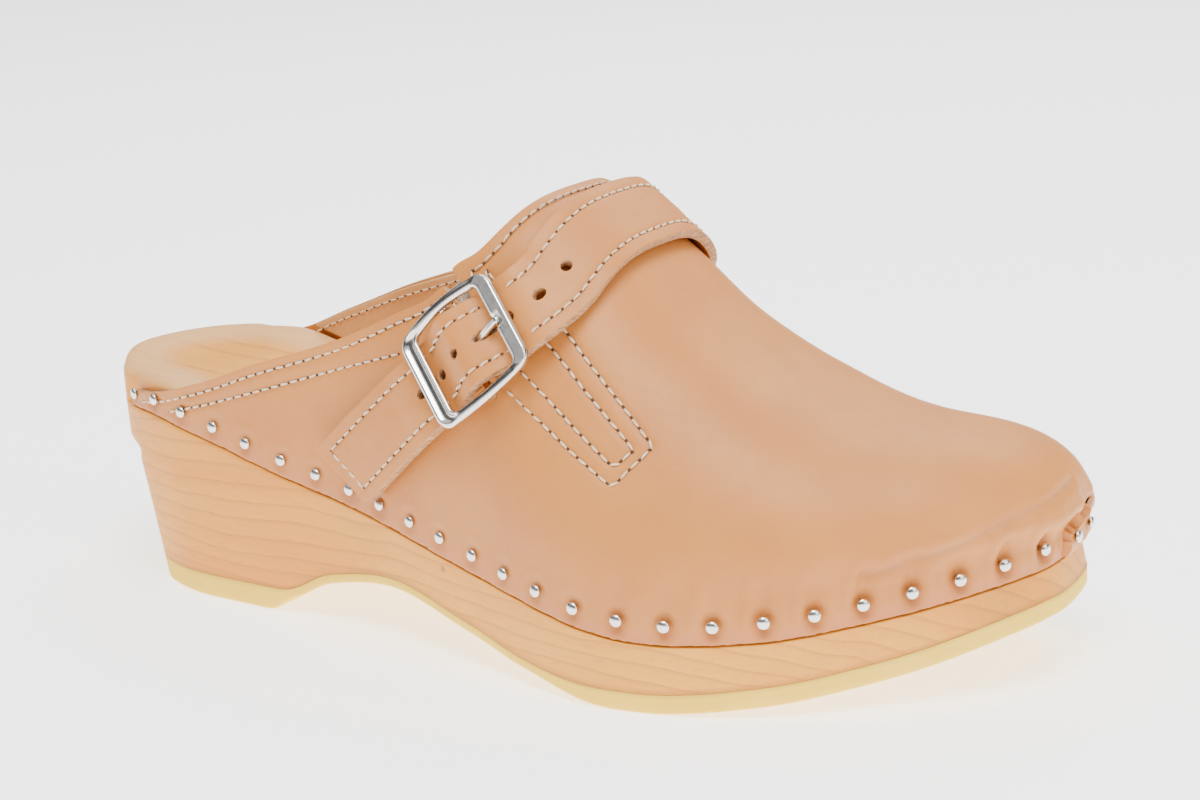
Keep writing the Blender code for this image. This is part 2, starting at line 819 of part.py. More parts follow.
def make_nails(places):
    profile = (
        (0.0, NAIL_HEAD_HEIGHT),
        (NAIL_HEAD / 2, 0.3 * NAIL_HEAD_HEIGHT),
        (NAIL_HEAD / 2, 0.0),
        (NAIL_SHANK / 2, 0.0),
        (NAIL_SHANK / 2, -NAIL_LENGTH * 0.85),
        (0.0, -NAIL_LENGTH),
    )
    mesh = turned_mesh("nail", profile, NAIL_SIDES)
    for name, angle in places:
        add_part(name, mesh, "steel", nail_matrix(angle))


def nail_hole_cutter(places):
    bm = bmesh.new()
    reach = NAIL_LENGTH + CLEARANCE + NAIL_CLEARANCE
    for _, angle in places:
        matrix = nail_matrix(angle) @ Matrix.Translation((0, 0, -reach / 2 + NAIL_CLEARANCE / 2))
        radius = NAIL_SHANK / 2 + NAIL_CLEARANCE
        bmesh.ops.create_cone(
            bm, cap_ends=True, segments=NAIL_SIDES, radius1=radius, radius2=radius,
            depth=reach + NAIL_CLEARANCE, matrix=matrix,
        )
    return add_cutter("nail_holes", mesh_from(bm, "nail_holes"))


def make_toe_guard(nail_holes):
    """A short strip of leather over the upper's lower edge at the tip of the toe."""
    sheets = []
    for depth in (CLEARANCE, CLEARANCE + GUARD):
        sheet = []
        for step in range(9):
            angle = GUARD_CENTRE + GUARD_SPREAD * (step / 4 - 1)
            low = ledge_z(edge(angle).x) + 2 * CLEARANCE
            row = []
            for share in (0.0, 0.5, 1.0):
                rise = rise_at(angle, low + GUARD_HEIGHT * share)
                row.append(upper_point(angle, rise) + upper_normal(angle, rise) * depth)
            sheet.append(row)
        sheets.append(sheet)
    bm = bmesh.new()
    inner = loft(bm, sheets[0], closed=False)
    outer = loft(bm, sheets[1], closed=False)
    close_edges(bm, outer, inner)
    obj = add_part("toe_guard", mesh_from(bm, "toe_guard"), "leather")
    boolean(obj, nail_holes)
    return obj


# ---------------------------------------------------------------- strap and buckle


def strap_line(tree):
    """Points on the upper under the strap's middle, from the lateral edge over to the medial edge."""
    x_at_height = curve_through([(z, x) for x, z in STRAP_LINE])
    foot = STRAP_LINE[0][1]
    points = []
    for i in range(181):
        turn = math.pi * i / 180
        height = foot
        for _ in range(8):
            origin = Vector((x_at_height(height), 0.0, foot))
            hit = tree.ray_cast(origin, Vector((0.0, -math.cos(turn), math.sin(turn))))[0]
            height = hit.z
        points.append(hit)
    return points


class Path:
    """A polyline that can be read by its arc length."""

    def __init__(self, points):
        self.points = points
        self.arcs = [0.0]
        for a, b in zip(points, points[1:]):
            self.arcs.append(self.arcs[-1] + (b - a).length)

    def at(self, arc):
        i = int(np.clip(np.searchsorted(self.arcs, arc) - 1, 0, len(self.points) - 2))
        share = (arc - self.arcs[i]) / (self.arcs[i + 1] - self.arcs[i])
        return self.points[i].lerp(self.points[i + 1], share)

    def direction(self, arc):
        return (self.at(arc + 0.004) - self.at(arc - 0.004)).normalized()

    def nearest(self, point):
        best = min(range(len(self.points)), key=lambda i: (self.points[i] - point).length)
        return self.arcs[best]


def away(tree, point):
    """The closest place on the upper and its outward normal."""
    hit, normal, _, _ = tree.find_nearest(point)
    inside = Vector((hit.x, CREST_SHIFT, 0.3 * INSTEP_HEIGHT))
    return hit, normal if normal.dot(hit - inside) > 0 else -normal


def buckle_frame_matrix(tree, path):
    """The buckle's frame: X along the strap to its fixed end, Y across it, Z away from the upper."""
    aim = Vector((BUCKLE_CENTRE[0], -0.2, BUCKLE_CENTRE[1]))
    hit, normal, _, _ = tree.ray_cast(aim, Vector((0, 1, 0)))
    arc = path.nearest(hit)
    centre, normal = away(tree, path.at(arc))
    along = path.at(arc + BUCKLE_LENGTH / 2) - path.at(arc - BUCKLE_LENGTH / 2)
    along = (along - normal * along.dot(normal)).normalized()
    across = normal.cross(along)
    matrix = Matrix((along, across, normal)).transposed().to_4x4()
    return Matrix.Translation(centre) @ matrix, arc


def strap_place(tree, path, frame, buckle_arc, arc, side, level):
    """A point of the strap: arc along it, side across it, level through its thickness (-1 to 1)."""
    centre = path.at(arc)
    _, normal = away(tree, centre)
    across = normal.cross(path.direction(arc)).normalized()
    hit, out = away(tree, centre + across * side)
    from_foot = smoothstep(0.0, 0.02, arc - path.arcs[0])
    crest = smoothstep(0.10, 0.02, abs(out.y) * 0.12)
    lift = STRAP_LIFT + 0.0012 * from_foot * crest
    if arc < buckle_arc:
        lift += CHAPE + CLEARANCE
    laid = hit + out * (lift + STRAP / 2 * (1 + level))
    along = arc - buckle_arc
    local = Vector((along, side, strap_rise(along) + STRAP / 2 * level))
    near = 1 - smoothstep(0.5 * BUCKLE_LENGTH - 0.001, 0.5 * BUCKLE_LENGTH + 0.011, abs(along))
    return laid.lerp(frame @ local, near)


strap_rise = curve_through(STRAP_RISE)


def band(name, stations, place, width):
    """A closed strip: its cross-section at each station is place(station, side, level)."""
    bm = bmesh.new()
    sides = [width * share for share in (-0.5, -0.17, 0.17, 0.5)]
    rings = []
    for station in stations:
        ring = [place(station, side, -1) for side in sides]
        ring += [place(station, side, 1) for side in reversed(sides)]
        rings.append(ring)
    rows = loft(bm, rings)
    bm.faces.new(list(reversed(rows[0])))
    bm.faces.new(rows[-1])
    return mesh_from(bm, name)


def strap_hole_cutter(holes, place):
    bm = bmesh.new()
    for arc in holes:
        low, high = place(arc, 0.0, -4), place(arc, 0.0, 4)
        turn = (high - low).to_track_quat("Z", "Y").to_matrix().to_4x4()
        matrix = Matrix.Translation((low + high) / 2) @ turn
        bmesh.ops.create_cone(
            bm, cap_ends=True, segments=8, radius1=STRAP_HOLE / 2, radius2=STRAP_HOLE / 2,
            depth=(high - low).length, matrix=matrix,
        )
    return add_cutter("strap_holes", mesh_from(bm, "strap_holes"))


def box_mesh(name, low, high):
    """A box between two corners."""
    bm = bmesh.new()
    bmesh.ops.create_cube(bm, size=1.0)
    size = Vector(high) - Vector(low)
    bmesh.ops.scale(bm, vec=size, verts=bm.verts)
    bmesh.ops.translate(bm, vec=(Vector(low) + Vector(high)) / 2, verts=bm.verts)
    return mesh_from(bm, name)


def rounded_rectangle(low_x, high_x, half_width, radius, bow=0.0, steps=4):
    """Points round a rectangle with round corners, its long sides bowed outward."""
    points = []
    corners = (
        (high_x - radius, half_width - radius, 0.0),
        (low_x + radius, half_width - radius, 0.5),
        (low_x + radius, radius - half_width, 1.0),
        (high_x - radius, radius - half_width, 1.5),
    )
    middle = (low_x + high_x) / 2
    for x, y, start in corners:
        for step in range(steps + 1):
            turn = math.pi * (start + 0.5 * step / steps)
            points.append((x + radius * math.cos(turn), y + radius * math.sin(turn)))
        if start in (0.0, 1.0):
            sign = 1 if start == 0.0 else -1
            for share in (0.25, 0.5, 0.75):
                reach = (high_x - low_x) / 2 - radius
                offset = reach * (1 - 2 * share) * sign
                points.append((middle + offset, sign * (half_width + bow * (1 - (1 - 2 * share) ** 2))))
    return points


def on_centre_bar(name, bm, frame):
    """A buckle piece, whose origin is on the centre bar that it turns about."""
    mesh = mesh_from(bm, name)
    to_bar = Matrix.Translation((0.0, 0.0, BAR_HEIGHT))
    mesh.transform(to_bar.inverted())
    return add_part(name, mesh, "nickel", frame @ to_bar)


def make_buckle(frame):
    """The frame with its two outer bars and side bars in one ring, and the centre bar under it."""
    long_half, inner_half = BUCKLE_LENGTH / 2, STRAP_WIDTH / 2 + 0.001
    back_bar = BUCKLE_LENGTH - BUCKLE_OPENING - FRONT_BAR
    inner_low, inner_high = back_bar - long_half, long_half - FRONT_BAR
    outer = rounded_rectangle(-long_half, long_half, inner_half + SIDE_BAR, 0.0035, 0.0006)
    inner = rounded_rectangle(inner_low, inner_high, inner_half, 0.0015, 0.0006)
    bm = bmesh.new()
    soft = EDGE_SOFTENING
    low, high = FRAME_BOTTOM, FRAME_BOTTOM + BUCKLE_THICKNESS
    cut = rounded_rectangle(-long_half + soft, long_half - soft, inner_half + SIDE_BAR - soft, 0.0031, 0.0006)
    rings = [
        [(x, y, low) for x, y in inner],
        [(x, y, low) for x, y in cut],
        [(x, y, low + soft) for x, y in outer],
        [(x, y, high - soft) for x, y in outer],
        [(x, y, high) for x, y in cut],
        [(x, y, high) for x, y in inner],
        [(x, y, low) for x, y in inner],
    ]
    loft(bm, [[Vector(p) for p in ring] for ring in rings])
    obj = on_centre_bar("buckle_frame", bm, frame)
    bar = bmesh.new()
    width = 2 * (inner_half + SIDE_BAR * 0.6)
    turn = Matrix.Rotation(math.pi / 2, 4, "X")
    bmesh.ops.create_cone(
        bar, cap_ends=True, segments=10, radius1=CENTRE_BAR / 2, radius2=CENTRE_BAR / 2, depth=width,
        matrix=Matrix.Translation((0, 0, BAR_HEIGHT)) @ turn,
    )
    bar_cutter = add_cutter("centre_bar", mesh_from(bar, "centre_bar"))
    bar_cutter.matrix_local = frame
    boolean(obj, bar_cutter, "UNION")
    for i, side in enumerate((-1, 1)):
        y = side * (inner_half + SIDE_BAR * 0.35)
        low_y, high_y = sorted((y, y + side * SIDE_BAR * 0.45))
        low_corner = (-LUG / 2, low_y, BAR_HEIGHT - 0.3 * CENTRE_BAR)
        high_corner = (LUG / 2, high_y, FRAME_BOTTOM + 0.4 * BUCKLE_THICKNESS)
        lug_obj = add_cutter(f"bar_lug_{i}", box_mesh(f"bar_lug_{i}", low_corner, high_corner))
        lug_obj.matrix_local = frame
        boolean(obj, lug_obj, "UNION")
    low_corner = (inner_high - 0.001, -PRONG * 0.8, high - NOTCH_DEPTH)
    high_corner = (inner_high + NOTCH_LENGTH, PRONG * 0.8, high + 0.001)
    notch = add_cutter("prong_notch", box_mesh("prong_notch", low_corner, high_corner))
    notch.matrix_local = frame
    boolean(obj, notch)
    return obj


def ring_points(radius, count, height):
    turns = [2 * math.pi * i / count for i in range(count)]
    return [(radius * math.cos(turn), height + radius * math.sin(turn)) for turn in turns]


def tube_ring(bm, inner, outer, half_width, height, count=14):
    """A short tube round the buckle's centre bar."""
    rings = [
        [Vector((x, -half_width, z)) for x, z in ring_points(inner, count, height)],
        [Vector((x, -half_width, z)) for x, z in ring_points(outer, count, height)],
        [Vector((x, half_width, z)) for x, z in ring_points(outer, count, height)],
        [Vector((x, half_width, z)) for x, z in ring_points(inner, count, height)],
        [Vector((x, -half_width, z)) for x, z in ring_points(inner, count, height)],
    ]
    loft(bm, rings)


PRONG_RING_INNER = CENTRE_BAR / 2 + 0.0003
PRONG_RING_OUTER = PRONG_RING_INNER + 0.0009


def make_prong(frame):
    """A finger from a ring round the centre bar to the notch in the front bar."""
    bm = bmesh.new()
    tube_ring(bm, PRONG_RING_INNER, PRONG_RING_OUTER, PRONG / 2, BAR_HEIGHT)
    obj = on_centre_bar("buckle_prong", bm, frame)
    inner_high = BUCKLE_LENGTH / 2 - FRONT_BAR
    start = Vector((PRONG_RING_INNER + 0.0004, 0.0, BAR_HEIGHT + 0.0003))
    rest_z = FRAME_BOTTOM + BUCKLE_THICKNESS - NOTCH_DEPTH + 2 * CLEARANCE + PRONG * 0.45
    end = Vector((inner_high + NOTCH_LENGTH - 2 * CLEARANCE, 0.0, rest_z))
    line = end - start
    finger = bmesh.new()
    matrix = Matrix.Translation((start + end) / 2) @ line.to_track_quat("Z", "Y").to_matrix().to_4x4()
    bmesh.ops.create_cone(
        finger, cap_ends=True, segments=8, radius1=PRONG * 0.45, radius2=PRONG * 0.38,
        depth=line.length, matrix=matrix,
    )
    cutter = add_cutter("prong_finger", mesh_from(finger, "prong_finger"))
    cutter.matrix_local = frame
    boolean(obj, cutter, "UNION")
    return obj


def make_chape(tree, path, frame, buckle_arc):
    """A thin leather tab on the upper that loops round the centre bar, with a slot for the prong."""
    half = CHAPE_WIDTH / 2

    def place(arc, side, level):
        _, normal = away(tree, path.at(arc))
        across = normal.cross(path.direction(arc)).normalized()
        hit, out = away(tree, path.at(arc) + across * side)
        laid = hit + out * (CLEARANCE + 0.0001 + CHAPE / 2 * (1 + level))
        along = arc - buckle_arc
        local = Vector((along, side, CLEARANCE + 0.0002 + CHAPE / 2 * (1 + level)))
        near = 1 - smoothstep(0.002, 0.008, abs(along))
        return laid.lerp(frame @ local, near)

    stations = [buckle_arc + 0.0012 - i * CHAPE_LENGTH / 8 for i in range(9)]
    obj = add_part("buckle_chape", band("buckle_chape", stations, place, CHAPE_WIDTH), "leather")
    loop = bmesh.new()
    inner = CENTRE_BAR / 2 + CLEARANCE
    tube_ring(loop, inner, inner + CHAPE, half, BAR_HEIGHT)
    loop_obj = add_cutter("chape_loop", mesh_from(loop, "chape_loop"))
    loop_obj.matrix_local = frame
    boolean(obj, loop_obj, "UNION")
    slot_half = PRONG / 2 + 2 * CLEARANCE
    low_corner = (-PRONG_RING_OUTER - 2 * CLEARANCE, -slot_half, BAR_HEIGHT - PRONG_RING_OUTER - CLEARANCE)
    high_corner = (0.006, slot_half, BAR_HEIGHT + 0.004)
    slot_obj = add_cutter("chape_slot", box_mesh("chape_slot", low_corner, high_corner))
    slot_obj.matrix_local = frame
    boolean(obj, slot_obj, solver="MANIFOLD")
    return obj


def make_strap(tree, frame, path, buckle_arc):
    def place(arc, side, level):
        return strap_place(tree, path, frame, buckle_arc, arc, side, level)

    hinge_arc = buckle_arc - BUCKLE_LENGTH / 2 - 0.0012
    tail_end = path.arcs[0] + TAIL_SKEW
    medial_end = path.arcs[-1] - STRAP_END_INSET
    near = [hinge_arc + CLEARANCE + i * 0.0017 for i in range(20)]
    far_count = 24
    far = [near[-1] + (medial_end - near[-1]) * (i + 1) / far_count for i in range(far_count)]
    strap = add_part("instep_strap", band("instep_strap", near + far, place, STRAP_WIDTH), "leather")

    def tail_place(share, side, level):
        """The tail's end is cut on the slant."""
        skew = TAIL_SKEW * (0.5 + side / STRAP_WIDTH)
        return place(tail_end - skew + (hinge_arc - tail_end + skew) * share, side, level)

    tail_mesh = band("strap_tail", [i / 10 for i in range(11)], tail_place, STRAP_WIDTH)
    pivot = place(hinge_arc, 0.0, 1)
    across = (place(hinge_arc, 0.01, 1) - place(hinge_arc, -0.01, 1)).normalized()
    outside = (pivot - place(hinge_arc, 0.0, -1)).normalized()
    hinge = Matrix((outside.cross(across), -across, outside)).transposed().to_4x4()
    hinge = Matrix.Translation(pivot) @ hinge
    tail_mesh.transform(hinge.inverted())
    tail = add_part("strap_tail", tail_mesh, "leather", hinge)
    prong_hole = buckle_arc + 0.0062
    holes = [prong_hole + i * STRAP_HOLE_PITCH for i in (3, 2, 1, -1, -2, -3)]
    cutter = strap_hole_cutter(holes, place)
    boolean(strap, cutter)
    half = PRONG / 2 + CLEARANCE
    slot = box_mesh("prong_slot", (0.0026, -half, 0.0), (0.0098, half, 0.012))
    prong_slot = add_cutter("prong_slot", slot)
    prong_slot.matrix_local = frame
    boolean(strap, prong_slot)
    boolean(tail, cutter)


# ---------------------------------------------------------------- assembly


def stand_on_ground():
    """Moves the root so that the clog stands on z = 0 with its box centred on the Z axis."""
    bpy.context.view_layer.update()
    graph = bpy.context.evaluated_depsgraph_get()
    low, high = Vector((9, 9, 9)), Vector((-9, -9, -9))
    for obj in PARTS.objects:
        if obj.type != "MESH":
            continue
        evaluated = obj.evaluated_get(graph)
        for corner in evaluated.bound_box:
            point = evaluated.matrix_world @ Vector(corner)
            low = Vector(map(min, low, point))
            high = Vector(map(max, high, point))
    ROOT.location = (-(low.x + high.x) / 2, -(low.y + high.y) / 2, -low.z)
    bpy.context.view_layer.update()


def main():
    places = nail_places()
    nail_holes = nail_hole_cutter(places)
    opening, slit, window = opening_cutter(), slit_cutter(), gore_window_cutter()
    sole = make_sole()
    boolean(sole, nail_holes)
    make_outsole()
    make_upper(opening, slit, nail_holes)
    make_lining(opening, window)
    make_gore(surface_tree())
    tree = surface_tree(3, 40)
    make_toe_guard(nail_holes)
    make_nails(places)
    path = Path(strap_line(tree))
    frame, buckle_arc = buckle_frame_matrix(tree, path)
    make_buckle(frame)
    make_prong(frame)
    make_chape(tree, path, frame, buckle_arc)
    make_strap(tree, frame, path, buckle_arc)
    stand_on_ground()


main()
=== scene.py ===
"""Looks of the right-foot wooden clog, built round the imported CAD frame.

Lengths are in metres. The clog's own shapes are worked out with the back of the heel at x = 0, as
in the CAD script, and ORIGIN moves them to their place in the row frame.
"""

import json
import math
import random

import bmesh
import bpy
import numpy as np
from mathutils import Matrix, Vector, kdtree, noise
from mathutils.bvhtree import BVHTree


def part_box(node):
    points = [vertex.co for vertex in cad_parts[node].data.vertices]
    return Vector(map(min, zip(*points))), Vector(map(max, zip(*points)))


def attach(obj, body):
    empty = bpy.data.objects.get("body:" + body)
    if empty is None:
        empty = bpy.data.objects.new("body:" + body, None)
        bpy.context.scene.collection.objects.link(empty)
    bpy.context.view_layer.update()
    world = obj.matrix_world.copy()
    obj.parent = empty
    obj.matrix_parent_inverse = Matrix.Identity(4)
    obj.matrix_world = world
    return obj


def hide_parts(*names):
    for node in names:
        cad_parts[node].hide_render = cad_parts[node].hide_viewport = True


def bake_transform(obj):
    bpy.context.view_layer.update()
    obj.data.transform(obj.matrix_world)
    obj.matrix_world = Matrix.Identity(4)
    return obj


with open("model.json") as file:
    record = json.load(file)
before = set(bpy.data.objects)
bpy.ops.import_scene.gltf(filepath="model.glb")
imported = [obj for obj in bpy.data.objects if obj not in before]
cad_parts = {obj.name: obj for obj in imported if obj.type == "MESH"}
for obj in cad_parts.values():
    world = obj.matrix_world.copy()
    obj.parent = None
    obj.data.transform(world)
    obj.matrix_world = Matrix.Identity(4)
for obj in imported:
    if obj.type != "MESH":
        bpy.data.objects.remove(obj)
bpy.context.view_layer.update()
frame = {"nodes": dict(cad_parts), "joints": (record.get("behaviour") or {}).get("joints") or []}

# Sizes that the CAD script also uses.
SOLE_LENGTH = 0.271
BALL_WIDTH = 0.101
HEEL_WIDTH = 0.071
HEEL_LEDGE = 0.0480
BALL_LEDGE = 0.0170
TOE_LEDGE = 0.0270
RIM_ABOVE_LEDGE = 0.0090
ARCH_HEIGHT = 0.0162
TOE_SPRING = 0.0155
HEEL_RUBBER = 0.0065
ARCH_RUBBER = 0.0028
BALL_RUBBER = 0.0050
SIDE_TAPER = 0.0012
DISH_DEPTH = 0.0030
LEATHER = 0.0022
LINING = 0.0010
INSTEP_HEIGHT = 0.1095
TOE_BOX_HEIGHT = 0.0545
TOE_REACH = 0.0390
TOE_BULGE = 0.0035
CREST_SHIFT = 0.0060
STRAP_WIDTH = 0.0200
STRAP = 0.0026
STRAP_HOLE = 0.0026
STRAP_HOLE_PITCH = 0.0075
BUCKLE_LENGTH = 0.0300
BUCKLE_OPENING = 0.0200
BUCKLE_THICKNESS = 0.0020
SIDE_BAR = 0.0024
FRONT_BAR = 0.0045
CENTRE_BAR = 0.0020
CHAPE = 0.0012
NAIL_HEAD = 0.0031
NAIL_ABOVE_LEDGE = 0.0050
NAIL_DROP_AT_HEEL = 0.0018
LATERAL_PITCH = 0.01124
LATERAL_NAILS = 25
MEDIAL_NAILS = 24
FIRST_NAIL_ARC = 0.0440
GUARD = 0.0018
GUARD_HEIGHT = 0.0100
GUARD_SPREAD = math.radians(9)
GUARD_CENTRE = math.radians(185)
CLEARANCE = 0.0003
STRAP_LIFT = 0.0006
STRAP_END_INSET = 0.0070
TAIL_SKEW = 0.0070
BAR_HEIGHT = 0.0033
FRAME_BOTTOM = 0.0051
LEATHER_START = math.radians(35)

OUTLINE = (
    (0.000, 0.07, HEEL_WIDTH),
    (0.030, -0.17, HEEL_WIDTH),
    (0.076, -0.35, HEEL_WIDTH),
    (0.148, -0.465, HEEL_WIDTH),
    (0.247, -0.50, HEEL_WIDTH),
    (0.376, -0.515, HEEL_WIDTH),
    (0.531, -0.455, BALL_WIDTH),
    (0.683, -0.54, BALL_WIDTH),
    (0.815, -0.448, BALL_WIDTH),
    (0.908, -0.257, BALL_WIDTH),
    (0.970, -0.074, BALL_WIDTH),
    (1.000, 0.120, BALL_WIDTH),
    (0.990, 0.305, BALL_WIDTH),
    (0.920, 0.392, BALL_WIDTH),
    (0.775, 0.455, BALL_WIDTH),
    (0.646, 0.455, BALL_WIDTH),
    (0.498, 0.381, BALL_WIDTH),
    (0.350, 0.465, HEEL_WIDTH),
    (0.221, 0.479, HEEL_WIDTH),
    (0.110, 0.505, HEEL_WIDTH),
    (0.040, 0.394, HEEL_WIDTH),
)
LATERAL_POINTS = 12
CAD_COLUMNS = 72

# Curves over the length of the sole, as (share of the length, value).
LEDGE_FALL = (
    (0.0, 1.0),
    (0.12, 1.0),
    (0.20, 0.88),
    (0.32, 0.61),
    (0.45, 0.39),
    (0.60, 0.16),
    (0.74, 0.0),
    (1.0, 0.0),
)
LEDGE_TOE = ((0.0, 0.0), (0.74, 0.0), (0.82, 0.11), (0.90, 0.41), (0.96, 0.74), (1.0, 1.0))
WOOD_BOTTOM = (
    (0.0, HEEL_RUBBER),
    (0.285, HEEL_RUBBER),
    (0.345, 0.35 * HEEL_RUBBER + 0.65 * ARCH_HEIGHT),
    (0.43, ARCH_HEIGHT),
    (0.53, 0.45 * BALL_RUBBER + 0.55 * ARCH_HEIGHT),
    (0.60, 0.83 * BALL_RUBBER + 0.17 * ARCH_HEIGHT),
    (0.68, BALL_RUBBER),
    (0.72, BALL_RUBBER),
    (0.82, BALL_RUBBER + 0.16 * TOE_SPRING),
    (0.90, BALL_RUBBER + 0.42 * TOE_SPRING),
    (1.0, BALL_RUBBER + TOE_SPRING),
)
RUBBER = (
    (0.0, HEEL_RUBBER),
    (0.268, HEEL_RUBBER),
    (0.297, ARCH_RUBBER),
    (0.60, ARCH_RUBBER),
    (0.70, BALL_RUBBER),
    (1.0, BALL_RUBBER),
)
CREST = (
    (0.0, INSTEP_HEIGHT + 0.004),
    (0.45, INSTEP_HEIGHT + 0.003),
    (0.555, INSTEP_HEIGHT),
    (0.635, 0.75 * INSTEP_HEIGHT + 0.25 * TOE_BOX_HEIGHT),
    (0.700, 0.48 * INSTEP_HEIGHT + 0.52 * TOE_BOX_HEIGHT),
    (0.768, 0.25 * INSTEP_HEIGHT + 0.75 * TOE_BOX_HEIGHT),
    (0.860, 0.07 * INSTEP_HEIGHT + 0.93 * TOE_BOX_HEIGHT),
    (0.960, TOE_BOX_HEIGHT),
    (1.03, 0.92 * TOE_BOX_HEIGHT),
)
BOXINESS = (
    (0.0, 3.0),
    (0.35, 3.2),
    (0.52, 3.4),
    (0.64, 2.8),
    (0.72, 2.6),
    (0.82, 3.0),
    (1.0, 3.6),
)
LEAN = ((0.0, 0.0), (0.20, 0.02), (0.42, 0.08), (0.62, 0.17), (0.80, 0.04), (1.0, 0.0))
BULGE = ((0.0, 0.0), (0.45, 0.0), (0.70, 0.25), (0.85, 0.45), (1.0, 1.0))

# The heel's back slants forward, and a groove runs across it, as (height, depth of the groove).
HEEL_SLANT = 0.0056
GROOVE_HEIGHT = 0.0350
GROOVE = (
    (0.0000, 0.0024),
    (0.0322, 0.0024),
    (0.0334, 0.0029),
    (0.0347, 0.0042),
    (0.0356, 0.0041),
    (0.0374, 0.0005),
    (0.0382, 0.0000),
    (0.0480, 0.0000),
)

# The opening's edge in side view, as (x, z): the lateral topline, then the vamp's edge.
TOPLINE = (
    (0.0100, 0.0510),
    (0.0320, 0.0532),
    (0.0540, 0.0586),
    (0.0750, 0.0659),
    (0.1010, 0.0742),
    (0.1190, 0.0820),
    (0.1345, 0.0905),
)
VAMP_EDGE = ((0.1365, 0.0945), (0.1425, 0.0985), (0.1468, 0.1040), (0.1495, 0.1085), (0.1560, 0.1180))
MEDIAL_TOPLINE = (
    (0.0100, 0.0510),
    (0.0320, 0.0558),
    (0.0540, 0.0645),
    (0.0750, 0.0727),
    (0.1010, 0.0810),
    (0.1190, 0.0866),
    (0.1345, 0.0930),
    (0.1430, 0.0995),
    (0.1475, 0.1050),
    (0.1500, 0.1090),
    (0.1560, 0.1180),
)
SLIT_TOP = Vector((0.1355, 0.0930))
SLIT_END = Vector((0.1590, 0.0770))
SLIT_WIDTH = 0.0034
GORE_END = Vector((0.1830, 0.0500))
GORE_WIDTH = 0.0180

STRAP_LINE = (
    (0.1040, 0.0400),
    (0.1270, 0.0588),
    (0.1480, 0.0761),
    (0.1585, 0.0850),
    (0.1645, 0.0930),
    (0.1660, 0.1050),
)
BUCKLE_CENTRE = (0.1480, 0.0768)
STRAP_RISE = (
    (-0.0130, 0.0030),
    (-0.0092, 0.0031),
    (-0.0050, 0.0054),
    (0.0, 0.0075),
    (0.0054, 0.0054),
    (0.0099, 0.0031),
    (0.0130, 0.0030),
)

# Stitched rows on the lateral side, in side view.
COUNTER_ROW = ((0.0430, 0.0498), (0.0572, 0.0535), (0.0799, 0.0604), (0.1023, 0.0673), (0.1270, 0.0748))
PATCH_OUTER = ((0.1648, 0.0858), (0.1952, 0.0594), (0.1884, 0.0513), (0.1531, 0.0717))
PATCH_INNER = ((0.1620, 0.0824), (0.1913, 0.0587), (0.1876, 0.0553), (0.1570, 0.0757))
QUARTER_TURN = ((0.1375, 0.0872), (0.1440, 0.0828))
VAMP_TURN = ((0.1462, 0.0946), (0.1545, 0.0888))
STITCH = 0.0026
STITCH_PITCH = 0.0032
THREAD = 0.00029

random.seed(7)


# ---------------------------------------------------------------- curves and surfaces


def smoothstep(low, high, value):
    t = np.clip((value - low) / (high - low), 0.0, 1.0)
    return t * t * (3 - 2 * t)


def hermite(knots, values, tangents, x):
    """The cubic through the knots with these tangents, at x, which may be an array."""
    knots, values, tangents = np.asarray(knots), np.asarray(values), np.asarray(tangents)
    i = np.clip(np.searchsorted(knots, x) - 1, 0, len(knots) - 2)
    step = knots[i + 1] - knots[i]
    t = (x - knots[i]) / step
    return (
        (1 + 2 * t) * (1 - t) ** 2 * values[i]
        + t * (1 - t) ** 2 * step * tangents[i]
        + t * t * (3 - 2 * t) * values[i + 1]
        + t * t * (t - 1) * step * tangents[i + 1]
    )


def curve_through(points):
    """A smooth function through (x, value) points, which doesn't overshoot them."""
    knots = [x for x, _ in points]
    values = [value for _, value in points]
    steps = [b - a for a, b in zip(knots, knots[1:])]
    slopes = [(b - a) / step for a, b, step in zip(values, values[1:], steps)]
    tangents = [slopes[0]]
    for i in range(1, len(slopes)):
        before, after = slopes[i - 1], slopes[i]
        if before * after <= 0:
            tangents.append(0.0)
            continue
        near = 2 * steps[i] + steps[i - 1]
        far = steps[i] + 2 * steps[i - 1]
        tangents.append((near + far) / (near / before + far / after))
    tangents.append(slopes[-1])
    return lambda x: hermite(knots, values, tangents, np.clip(x, knots[0], knots[-1]))


def closed_outline():
    """The y of the sole's edge as a function of the angle that runs round it from the heel."""
    knots, values = [], []
    for i, (share, side, width) in enumerate(OUTLINE):
        angle = math.acos(1 - 2 * share)
        knots.append(angle if i < LATERAL_POINTS else 2 * math.pi - angle)
        values.append(side * width)
    turn = 2 * math.pi
    knots = [knots[-1] - turn] + knots + [turn, knots[1] + turn]
    values = [values[-1]] + values + [values[0], values[1]]
    tangents = [0.0]
    for i in range(1, len(knots) - 1):
        before, after = knots[i] - knots[i - 1], knots[i + 1] - knots[i]
        slope_before = (values[i] - values[i - 1]) / before
        slope_after = (values[i + 1] - values[i]) / after
        tangents.append((slope_before * after + slope_after * before) / (before + after))
    tangents.append(0.0)
    return lambda angle: float(hermite(knots, values, tangents, angle % turn))


edge_y = closed_outline()
ledge_fall = curve_through(LEDGE_FALL)
ledge_toe = curve_through(LEDGE_TOE)
wood_bottom = curve_through(WOOD_BOTTOM)
rubber_depth = curve_through(RUBBER)
crest_height = curve_through(CREST)
boxiness = curve_through(BOXINESS)
inward_lean = curve_through(LEAN)
bulge_share = curve_through(BULGE)
lateral_opening_z = curve_through(TOPLINE + VAMP_EDGE)
medial_opening_z = curve_through(MEDIAL_TOPLINE)
strap_rise = curve_through(STRAP_RISE)


def edge(angle):
    return Vector((SOLE_LENGTH * (1 - math.cos(angle)) / 2, edge_y(angle)))


